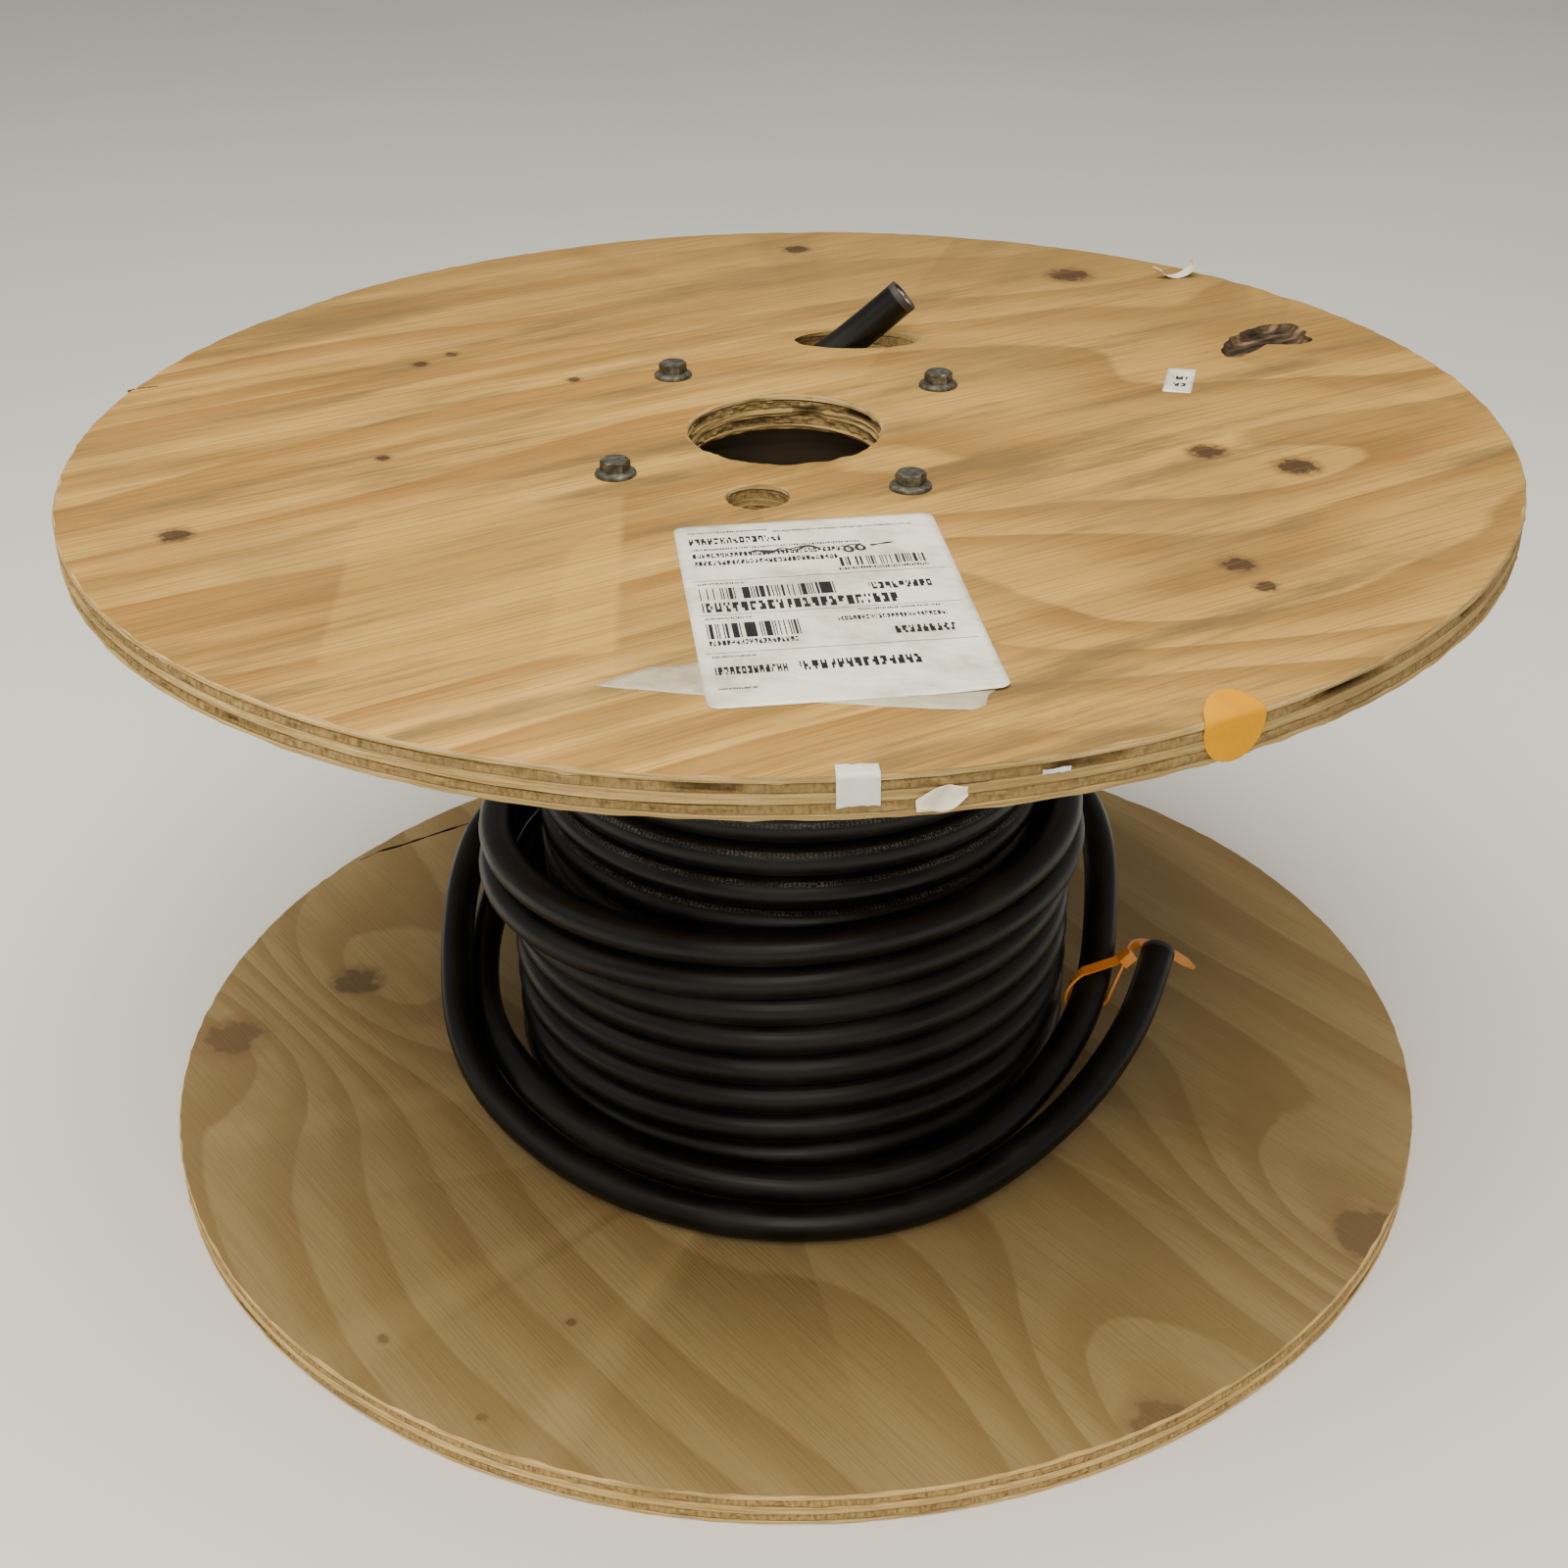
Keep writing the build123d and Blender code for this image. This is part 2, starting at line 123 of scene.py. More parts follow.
soft_light("overhead", (-0.10, -0.40, 2.3), (0, 0, 0.2), 2.0, 78, (1, 0.94, 0.79))
soft_light("front_fill", (-0.1, -2.4, 1.6), (0, 0, 0.1), 1.6, 30, (1, 0.94, 0.80))
soft_light("left_rim", (-2.1, -0.6, 1.3), (0, 0, 0.25), 1.4, 5, (1, 0.95, 0.82))
world = bpy.data.worlds.new("studio")
world.use_nodes = True
world.node_tree.nodes["Background"].inputs["Color"].default_value = (0.95, 0.93, 0.87, 1)
world.node_tree.nodes["Background"].inputs["Strength"].default_value = 0.34
bpy.context.scene.world = world


# ---- shader building ----
class Shader:
    """One material and its nodes. Any argument may be a number, a colour or another node's socket."""

    def __init__(self, name):
        self.material = bpy.data.materials.new(name)
        self.material.use_nodes = True
        self.tree = self.material.node_tree
        self.surface = self.tree.nodes["Principled BSDF"]
        source = self.node("ShaderNodeTexCoord")
        self.place = source.outputs["Object"]
        self.uv = source.outputs["UV"]

    def node(self, kind, **settings):
        made = self.tree.nodes.new(kind)
        for name, value in settings.items():
            setattr(made, name, value)
        return made

    def put(self, socket, value):
        if isinstance(value, bpy.types.NodeSocket):
            self.tree.links.new(value, socket)
        elif socket.type == "RGBA" and len(value) == 3:
            socket.default_value = (*value, 1)
        else:
            socket.default_value = value

    def math(self, operation, *values):
        made = self.node("ShaderNodeMath", operation=operation)
        for socket, value in zip(made.inputs, values):
            self.put(socket, value)
        return made.outputs[0]

    def vector(self, operation, *values):
        """A vector operation whose result is a number: DISTANCE or DOT_PRODUCT."""
        made = self.node("ShaderNodeVectorMath", operation=operation)
        for socket, value in zip(made.inputs, values):
            self.put(socket, value)
        return made.outputs["Value"]

    def split(self, value):
        made = self.node("ShaderNodeSeparateXYZ")
        self.put(made.inputs[0], value)
        return made.outputs

    def mapped(self, value, turn=0.0, scale=(1, 1, 1), shift=(0, 0, 0)):
        """Turns a position about Z, then stretches it by scale and shifts it."""
        turned = self.node("ShaderNodeMapping")
        self.put(turned.inputs["Vector"], value)
        turned.inputs["Rotation"].default_value = (0, 0, turn)
        stretched = self.node("ShaderNodeMapping")
        self.put(stretched.inputs["Vector"], turned.outputs[0])
        stretched.inputs["Scale"].default_value = scale
        stretched.inputs["Location"].default_value = shift
        return stretched.outputs[0]

    def noise(self, value, scale=1.0, detail=3.0, roughness=0.55, distortion=0.0):
        made = self.node("ShaderNodeTexNoise")
        self.put(made.inputs["Vector"], value)
        made.inputs["Scale"].default_value = scale
        made.inputs["Detail"].default_value = detail
        made.inputs["Roughness"].default_value = roughness
        made.inputs["Distortion"].default_value = distortion
        return made.outputs[0]

    def between(self, value, low, high, first=0.0, last=1.0):
        """Goes smoothly from first to last as value goes from low to high."""
        made = self.node("ShaderNodeMapRange", interpolation_type="SMOOTHSTEP")
        for socket, number in zip(made.inputs, (value, low, high, first, last)):
            self.put(socket, number)
        return made.outputs[0]

    def ramp(self, value, *stops):
        made = self.node("ShaderNodeValToRGB")
        self.put(made.inputs[0], value)
        elements = made.color_ramp.elements
        while len(elements) < len(stops):
            elements.new(0.5)
        for element, (position, colour) in zip(elements, stops):
            element.position = position
            element.color = (*colour, 1)
        return made.outputs[0]

    def mix(self, factor, first, second, blend="MIX"):
        made = self.node("ShaderNodeMix", data_type="RGBA", blend_type=blend)
        self.put(made.inputs["Factor"], factor)
        self.put(made.inputs[6], first)
        self.put(made.inputs[7], second)
        return made.outputs[2]

    def bump(self, height, distance):
        made = self.node("ShaderNodeBump")
        self.put(made.inputs["Height"], height)
        made.inputs["Distance"].default_value = distance
        self.put(self.surface.inputs["Normal"], made.outputs[0])

    def near(self, place, centre, reach):
        """1 at centre, falling to 0 as exp of minus the squared distance over reach."""
        distance = self.math("DIVIDE", self.vector("DISTANCE", place, centre), reach)
        square = self.math("MULTIPLY", distance, distance)
        return self.math("EXPONENT", self.math("MULTIPLY", square, -1))

    def inside(self, place, corners, soft=0.002):
        """1 inside a convex outline whose corners run anticlockwise, 0 outside."""
        mask = None
        for (x0, y0), (x1, y1) in zip(corners, corners[1:] + corners[:1]):
            length = ((x1 - x0) ** 2 + (y1 - y0) ** 2) ** 0.5
            normal = ((y0 - y1) / length, (x1 - x0) / length, 0)
            offset = normal[0] * x0 + normal[1] * y0
            side = self.between(self.vector("DOT_PRODUCT", place, normal), offset - soft, offset + soft)
            mask = side if mask is None else self.math("MULTIPLY", mask, side)
        return mask

    def done(self, colour, roughness, shine=0.5, **constants):
        """Sets the surface and returns the material: shine is the strength of its reflections."""
        self.put(self.surface.inputs["Base Color"], colour)
        self.put(self.surface.inputs["Roughness"], roughness)
        self.put(self.surface.inputs["Specular IOR Level"], shine)
        for name, value in constants.items():
            self.put(self.surface.inputs[name], value)
        return self.material


def turned(point, angle, scale):
    """A flat point turned about the origin and stretched, as Shader.mapped does it."""
    x, y = point
    across, along = x * cos(angle) - y * sin(angle), x * sin(angle) + y * cos(angle)
    return (scale[0] * across, scale[1] * along, 0)


# ---- mesh building ----
def piece(name, patches, materials, sharp=35):
    """Joins patches of (points, faces, material index) into one mesh that rides on the spool.

    Shared seams are merged and the normals are turned outward. Edges sharper than the angle, in
    degrees, stay hard.
    """
    points, faces, kinds = [], [], []
    start = 0
    for patch_points, patch_faces, kind in patches:
        patch_points = np.asarray(patch_points, float).reshape(-1, 3)
        points.append(patch_points)
        faces += [[corner + start for corner in face] for face in np.asarray(patch_faces).tolist()]
        kinds += [kind] * len(patch_faces)
        start += len(patch_points)
    mesh = bpy.data.meshes.new(name)
    mesh.from_pydata(np.concatenate(points).tolist(), [], faces)
    mesh.polygons.foreach_set("material_index", kinds)
    for material in materials:
        mesh.materials.append(material)
    work = bmesh.new()
    work.from_mesh(mesh)
    bmesh.ops.remove_doubles(work, verts=work.verts, dist=1e-6)
    bmesh.ops.recalc_face_normals(work, faces=work.faces)
    work.to_mesh(mesh)
    work.free()
    mesh.polygons.foreach_set("use_smooth", [True] * len(mesh.polygons))
    mesh.set_sharp_from_angle(angle=radians(sharp))
    made = bpy.data.objects.new(name, mesh)
    bpy.context.scene.collection.objects.link(made)
    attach(made, "root")
    return made


def quads(rows, columns, closed=False):
    """Corner numbers of each cell of a grid; a closed grid joins its last column to its first."""
    row, column = np.meshgrid(np.arange(rows - 1), np.arange(columns - (not closed)), indexing="ij")
    following = (column + 1) % columns
    corners = (row * columns + column, row * columns + following,
               (row + 1) * columns + following, (row + 1) * columns + column)
    return np.stack([corner.ravel() for corner in corners], axis=1)


def turned_surface(profile, axis_at, direction, columns=64):
    """Carries a profile of (radius, distance along) round an axis: one row for each of its points."""
    direction = np.asarray(direction, float) / np.linalg.norm(direction)
    side = np.cross(direction, (0, 0, 1) if abs(direction[2]) < 0.9 else (1, 0, 0))
    side /= np.linalg.norm(side)
    other = np.cross(direction, side)
    angle = np.linspace(0, 2 * pi, columns, endpoint=False)
    ring = np.outer(np.cos(angle), side) + np.outer(np.sin(angle), other)
    radius, along = np.asarray(profile, float).T
    points = radius[:, None, None] * ring + along[:, None, None] * direction + np.asarray(axis_at)
    return points, quads(len(profile), columns, closed=True)


def flat_face(outline, holes, height, spacing=None):
    """Triangles that fill an outline apart from its holes, all at one height.

    With a spacing, more points stand on a square grid inside the outline.
    """
    loops = [np.asarray(loop, float)[:, :2] for loop in (outline, *holes)]
    edges, start = [], 0
    for loop in loops:
        count = len(loop)
        edges += [(start + step, start + (step + 1) % count) for step in range(count)]
        start += count
    points = np.concatenate(loops)
    if spacing:
        low, high = points.min(0), points.max(0)
        columns, rows = (np.arange(low[axis], high[axis], spacing) for axis in (0, 1))
        grid = np.stack(np.meshgrid(columns, rows), -1).reshape(-1, 2)
        keep = within(grid, loops[0]) & (nearest(grid, loops[0]) > 0.6 * spacing)
        points = np.concatenate([points, grid[keep]])
    scaled = [Vector(point) for point in (points * 1000).tolist()]
    result = delaunay_2d_cdt(scaled, edges, [], 1, 1e-5)
    corners = np.array([list(vertex) for vertex in result[0]]) / 1000
    triangles = np.array(result[2])
    centres = corners[triangles].mean(1)
    keep = within(centres, loops[0])
    for hole in loops[1:]:
        keep &= ~within(centres, hole)
    z = height(corners[:, 0], corners[:, 1]) if callable(height) else np.full(len(corners), height)
    return np.column_stack([corners, z]), triangles[keep]


def within(points, loop):
    """Whether each point is inside a loop: a ray to its right crosses it an odd number of times."""
    inside = np.zeros(len(points), bool)
    for (x0, y0), (x1, y1) in zip(loop, np.roll(loop, -1, axis=0)):
        spans = (y0 > points[:, 1]) != (y1 > points[:, 1])
        crossing = x0 + (points[:, 1] - y0) * (x1 - x0) / (y1 - y0 if y1 != y0 else 1)
        inside ^= spans & (points[:, 0] < crossing)
    return inside


def nearest(points, loop):
    """Distance from each point to the nearest of a loop's points."""
    return np.sqrt(((points[:, None, :] - loop[None, :, :]) ** 2).sum(-1)).min(1)


def rough_field(seed, rows, columns, row_reach, column_reach):
    """Random heights of unit spread, smoothed by a bell of the given reach along rows and columns."""
    values = np.random.default_rng(seed).normal(size=(rows, columns))
    for axis, reach in ((0, row_reach), (1, column_reach)):
        steps = np.fft.fftfreq(values.shape[axis])
        bell = np.exp(-2 * (pi * steps * reach) ** 2)
        shape = [-1, 1] if axis == 0 else [1, -1]
        values = np.real(np.fft.ifft(np.fft.fft(values, axis=axis) * bell.reshape(shape), axis=axis))
    return values / values.std()


def around(angle, centre, half_width):
    """1 where an angle in radians is at centre, falling to 0 at half_width from it; both of these
    are in degrees."""
    offset = (np.degrees(angle) - centre + 180) % 360 - 180
    return np.clip(1 - (offset / half_width) ** 2, 0, 1) ** 0.5


# ---- cable: one curve from the start's cut end, down the core, up again and round the loose turns ----
# Radii and heights of the two layers in metres, angles in degrees, and lengths in turns.
FIRST_LAYER = 110.05 * MM
SECOND_LAYER = 126.35 * MM
TURN_POINTS = 24
FIRST_START = 122.7
FIRST_TURNS = 17.287
CROSSING = 60.0
OUTLET_HEIGHT = 160.0 * MM
SECOND_TURNS = 8.3306
# Turns that stand off the winding: turns before the outlet, stand-off, half width in turns, drop.
STAND_OFFS = [
    (0.60, 13.0, 0.17, 1.0), (1.60, 14.5, 0.16, 4.0), (2.60, 4.0, 0.14, 2.0),
    (0.12, 4.0, 0.12, 0.0), (1.12, 6.0, 0.13, 0.0),
]


def wound_points():
    """Points of both layers, as angle, radius and height on a long helix.

    The first layer goes down at an even pitch, the cable crosses outward at the bottom over a sixth
    of a turn, and the second layer goes up at an even pitch. Some of its last turns stand off and
    sag in bell-shaped bumps. Points on a circle stand out from it by one over the cosine of half
    their spacing, so that the curve through their middles has the circle's radius.
    """
    step = 360 / TURN_POINTS
    top, bottom = start_route[-1][2], LOWEST_CENTRE + 0.15 * MM
    first = np.arange(step, FIRST_TURNS * 360, step)
    first_end = FIRST_START + FIRST_TURNS * 360
    second_start = first_end + CROSSING
    second = np.arange(0, SECOND_TURNS * 360 - step, step)
    crossing = np.arange(step, CROSSING, step)
    share = crossing / CROSSING
    share = share * share * (3 - 2 * share)
    before = (SECOND_TURNS * 360 - second) / 360
    stand_off, drops = (
        sum(bump[part] * np.exp(-(((before - bump[0]) / bump[2]) ** 2)) for bump in STAND_OFFS)
        for part in (1, 3)
    )
    angle = np.concatenate([FIRST_START + first, first_end + crossing, second_start + second])
    radius = np.concatenate([
        np.full(len(first), FIRST_LAYER),
        FIRST_LAYER + share * (SECOND_LAYER - FIRST_LAYER),
        SECOND_LAYER + stand_off * MM,
    ]) / cos(pi / TURN_POINTS)
    height = np.concatenate([
        top + (bottom - top) * first / (FIRST_TURNS * 360),
        np.full(len(crossing), bottom),
        bottom + (OUTLET_HEIGHT - bottom) * second / (SECOND_TURNS * 360) - drops * MM,
    ])
    angle = np.radians(angle)
    return np.column_stack([radius * np.cos(angle), radius * np.sin(angle), height])


# Rows of print, in turns round the cable: drift over its length, side that they face, and height.
PRINT_TWIST = 0.97
PRINT_SIDE = -0.10
PRINT_HEIGHT = 0.048
LETTER_PITCH = 2.0 * MM


def jacket_material():
    """Black extruded jacket: fine lengthwise drag marks, dull dust, and rows of small pale marks."""
    shader = Shader("cable_jacket")
    u, v, _ = shader.split(shader.uv)
    along = shader.math("MULTIPLY", u, CABLE_LENGTH)
    dust = shader.noise(shader.place, 26, 4)
    drag = shader.node("ShaderNodeCombineXYZ")
    shader.put(drag.inputs[0], shader.math("MULTIPLY", along, 3))
    shader.put(drag.inputs[1], shader.math("MULTIPLY", v, 40))
    fine = shader.noise(drag.outputs[0], 1, 3)
    drift = shader.math("MULTIPLY_ADD", u, PRINT_TWIST, PRINT_SIDE)
    turn = shader.math("FRACT", shader.math("ADD", v, drift))
    row = shader.math("DIVIDE", shader.math("SUBTRACT", turn, 0.5), 0.5 * PRINT_HEIGHT)
    in_row = shader.math("LESS_THAN", shader.math("ABSOLUTE", row), 1)
    cell = shader.node("ShaderNodeCombineXYZ")
    shader.put(cell.inputs[0], shader.math("FLOOR", shader.math("DIVIDE", along, LETTER_PITCH / 4)))
    shader.put(cell.inputs[1], shader.math("FLOOR", shader.math("MULTIPLY", row, 2.5)))
    chance = shader.node("ShaderNodeTexWhiteNoise", noise_dimensions="2D")
    shader.put(chance.inputs["Vector"], cell.outputs[0])
    marked = shader.math("GREATER_THAN", chance.outputs["Value"], 0.45)
    letter = shader.math("FRACT", shader.math("DIVIDE", along, LETTER_PITCH))
    in_letter = shader.math("LESS_THAN", letter, 0.72)
    word = shader.noise(drag.outputs[0], 14, 0)
    in_word = shader.math("GREATER_THAN", word, 0.47)
    mark = shader.between(shader.noise(shader.place, 60, 2), 0.3, 0.6, 0.3, 1)
    for mask in (in_row, marked, in_letter, in_word):
        mark = shader.math("MULTIPLY", mark, mask)
    dusty = shader.between(dust, 0.42, 0.75)
    black = shader.mix(dusty, (0.0022, 0.0023, 0.0023), (0.0085, 0.0082, 0.0075))
    colour = shader.mix(mark, black, (0.12, 0.12, 0.115))
    rough = shader.math("MULTIPLY_ADD", fine, 0.06, shader.between(dust, 0.3, 0.75, 0.30, 0.47))
    shader.bump(shader.math("MULTIPLY_ADD", shader.noise(shader.place, 900, 2), 0.35, fine), 0.00012)
    return shader.done(colour, rough, shine=0.28)


cable_curve = bpy.data.curves.new("cable", "CURVE")
cable_curve.dimensions = "3D"
cable_curve.twist_mode = "Z_UP"
cable_curve.bevel_depth = CABLE_RADIUS
cable_curve.bevel_resolution = 6
spline = cable_curve.splines.new("NURBS")
cable_points = np.concatenate([start_route, wound_points(), loose_route])
spline.points.add(len(cable_points) - 1)
spline.points.foreach_set("co", np.column_stack([cable_points, np.ones(len(cable_points))]).ravel())
spline.order_u = 3
spline.use_endpoint_u = True
spline.resolution_u = 4
# The curve cuts the corners between its points, so it is this much shorter than the runs between them.
CORNER_SHARE = 0.993
runs = np.diff(cable_points, axis=0)
CABLE_LENGTH = float(np.linalg.norm(runs, axis=1).sum()) * CORNER_SHARE
cable_curve.materials.append(jacket_material())
cable = bpy.data.objects.new("cable", cable_curve)
bpy.context.scene.collection.objects.link(cable)
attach(cable, "root")
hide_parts("cable_first_layer", "cable_second_layer", "cable_loose_turn", "cable_start")


# ---- plywood ----
PLIES = np.array([2.5, 6.0, 10.0, 13.5]) / 16
PLY_ROWS = 33
TOP_GRAIN = radians(29)
BOTTOM_GRAIN = radians(-53)


def ply_relief(seed, columns, tear=1.0, voids=(), cracks=(), top_wear=0.5, bottom_wear=0.4):
    """How far each point of a cut edge lies inside the true edge, rows from the bottom up.

    Cross plies stand back and are torn, long plies are drawn out, glue lines are shallow grooves,
    voids are pockets as tall as their ply, cracks follow one glue line, and both corners show wear.
    A void is (ply, angle, half width, depth) and a crack (row, angle, half width, depth).
    """
    level = np.linspace(0, 1, PLY_ROWS)
    ply = np.searchsorted(PLIES, level)
    across = np.isin(ply, (1, 3))[:, None]
    angle = np.linspace(0, 2 * pi, columns, endpoint=False)
    relief = 0.10 * rough_field(seed, PLY_ROWS, columns, 1.0, 2.0)
    relief += np.where(across, 0.30 + 0.30 * rough_field(seed + 1, PLY_ROWS, columns, 1.3, 0.8), 0)
    relief += np.where(across, 0, 0.16 * rough_field(seed + 2, PLY_ROWS, columns, 0.7, 14))
    relief[np.round(PLIES * (PLY_ROWS - 1)).astype(int)] += 0.40
    for where, centre, half_width, depth in voids:
        tall = np.clip(1.6 - np.abs(ply - where) * 9.0, 0, 1)[:, None] * (ply == where)[:, None]
        ragged = 1 + 0.2 * rough_field(seed + 3, 1, columns, 0, 2)
        relief += depth * tall * around(angle, centre, half_width) * ragged
    for row, centre, half_width, depth in cracks:
        relief[row] += depth * around(angle, centre, half_width)
    relief *= tear
    for rows, wear, at in (((-1, -2, -3), top_wear, 4), ((0, 1, 2), bottom_wear, 5)):
        ragged = np.abs(rough_field(seed + at, 1, columns, 0, 2.2))[0] + 0.8 * np.clip(
            rough_field(seed + at + 2, 1, columns, 0, 9)[0] - 1.1, 0, 2)
        for share, row in zip((1.0, 0.45, 0.15), rows):
            relief[row] += wear * share * (0.4 + ragged)
    return relief * MM


def edge_wall(radius, relief, centre, base, outward):
    """A round wall from a relief: radius is the true edge less the relief, or plus it for a hole."""
    rows, columns = relief.shape
    angle = np.linspace(0, 2 * pi, columns, endpoint=False)
    reach = radius - relief if outward else radius + relief
    height = np.repeat(np.linspace(base, base + FLANGE_THICKNESS, rows)[:, None], columns, 1)
    x, y = centre[0] + reach * np.cos(angle), centre[1] + reach * np.sin(angle)
    return np.stack([x, y, height], -1), quads(rows, columns, closed=True)


def slanted_wall(relief, base):
    """The slot's wall: a bored cylinder that leans over by its slant, so its outline is an ellipse
    that slides along X as the height falls."""
    rows, columns = relief.shape
    angle = np.linspace(0, 2 * pi, columns, endpoint=False)
    height = np.linspace(base, base + FLANGE_THICKNESS, rows)[:, None]
    slide = (SPOOL_HEIGHT - height) / tan(SLOT_SLANT)
    x = SLOT_AT[0] - slide + (SLOT_RADIUS + relief) / sin(SLOT_SLANT) * np.cos(angle)
    y = SLOT_AT[1] + (SLOT_RADIUS + relief) * np.sin(angle) + 0 * height
    return np.stack([x, y, height + 0 * x], -1), quads(rows, columns, closed=True)


def pit(outline, face, depth, seed, shrink=0.86):
    """A pocket in a face: a wall from its outline down to a smaller ragged one, and a floor."""
    loop = np.asarray(outline, float)
    centre = loop.mean(0)
    ragged = 1 + 0.05 * rough_field(seed, 1, len(loop), 0, 1.0)[0][:, None]
    rings = [loop] + [centre + (loop - centre) * share * ragged for share in ((1 + shrink) / 2, shrink)]
    heights = (face, face - 0.6 * depth, face - depth)
    points = np.stack([
        np.column_stack([ring, np.full(len(loop), height)]) for ring, height in zip(rings, heights)
    ])
    wall = (points, quads(3, len(loop), closed=True), 2)
    return [wall, (*flat_face(rings[-1], [], heights[-1]), 2)]


def smooth_loop(corners, count, seed, ragged=0.0):
    """A closed outline through rounded corners: equal steps along it, smoothed, with a ragged edge."""
    corners = np.asarray(corners, float) * MM
    closed = np.vstack([corners, corners[:1]])
    travel = np.concatenate([[0], np.cumsum(np.linalg.norm(np.diff(closed, axis=0), axis=1))])
    steps = np.linspace(0, travel[-1], count, endpoint=False)
    loop = np.column_stack([np.interp(steps, travel, closed[:, axis]) for axis in (0, 1)])
    for _ in range(3):
        loop = (np.roll(loop, 1, 0) + 2 * loop + np.roll(loop, -1, 0)) / 4
    centre = loop.mean(0)
    away = (loop - centre) / np.linalg.norm(loop - centre, axis=1)[:, None]
    return loop + away * ragged * MM * rough_field(seed, 1, count, 0, 0.8)[0][:, None]


def crack_loop(corners, width, seed):
    """The outline of a split along a bent line: widest in the middle, ragged, pointed at its ends."""
    corners = np.asarray(corners, float) * MM
    travel = np.concatenate([[0], np.cumsum(np.linalg.norm(np.diff(corners, axis=0), axis=1))])
    count = 26
    steps = np.linspace(0, travel[-1], count)
    line = np.column_stack([np.interp(steps, travel, corners[:, axis]) for axis in (0, 1)])
    along = np.gradient(line, axis=0)
    side = np.column_stack([-along[:, 1], along[:, 0]]) / np.linalg.norm(along, axis=1)[:, None]
    half = 0.5 * width * MM * np.sin(np.linspace(0, pi, count)) ** 0.5
    half *= 1 + 0.35 * rough_field(seed, 1, count, 0, 0.8)[0]
    offset = np.maximum(half, 0.0)[:, None] * side
    return np.vstack([line - offset, (line + offset)[-2:0:-1]])


def circle(centre, radius, count):
    """Points of a circle."""
    angle = np.linspace(0, 2 * pi, count, endpoint=False)
    return np.column_stack([centre[0] + radius * np.cos(angle), centre[1] + radius * np.sin(angle)])


# A point deeper than this inside the rim or the arbor hole isn't on their walls.
DEEPEST_RECESS = 8 * MM


def flange(name, base, seed, rim, arbor, walls, pits, spotfaces, materials):
    """A plywood disc: its rim and hole walls from their reliefs, faces between their outlines,
    pockets in its top face, and counterbored recesses for the nuts in its underside. An attribute
    holds how deep each point of the rim and of the arbor hole lies inside the true edge."""
    top = base + FLANGE_THICKNESS
    rim_wall = edge_wall(FLANGE_RADIUS, rim, (0, 0), base, True)
    arbor_wall = edge_wall(ARBOR_RADIUS, arbor, (0, 0), base, False)
    drive = ply_relief(seed + 40, 96, 0.6, top_wear=0.5)
    drive_wall = edge_wall(DRIVE_HOLE_RADIUS, drive, DRIVE_HOLE_AT, base, False)
    holes = [arbor_wall, drive_wall, *walls]
    patches = [(*wall, 1) for wall in (rim_wall, *holes)]
    openings = [wall[0][-1] for wall in holes] + [loop for loop, _ in pits]
    patches.append((*flat_face(rim_wall[0][-1], openings, top), 0))
    for number, (loop, depth) in enumerate(pits):
        patches += pit(loop, top, depth * MM, seed + 60 + number)
    recesses = [circle(at, SPOTFACE_RADIUS, 40) for at in spotfaces]
    openings = [wall[0][0] for wall in holes] + recesses
    patches.append((*flat_face(rim_wall[0][0], openings, base), 0))
    for loop in recesses:
        levels = (base, base + SPOTFACE_DEPTH)
        rings = np.stack([np.column_stack([loop, np.full(len(loop), height)]) for height in levels])
        patches.append((rings, quads(2, len(loop), closed=True), 1))
        patches.append((*flat_face(loop, [], levels[-1]), 1))
    made = piece(name, patches, materials, sharp=40)
    spots = np.zeros(len(made.data.vertices) * 3)
    made.data.vertices.foreach_get("co", spots)
    spots = spots.reshape(-1, 3)
    reach = np.hypot(spots[:, 0], spots[:, 1])
    recess = np.minimum(np.clip(FLANGE_RADIUS - reach, 0, None), np.clip(reach - ARBOR_RADIUS, 0, None))
    recess[recess > DEEPEST_RECESS] = 0
    attribute = made.data.attributes.new("recess", "FLOAT", "POINT")
    attribute.data.foreach_set("value", recess.astype(np.float32))
    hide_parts(name.replace("plywood_", "") + "_flange")


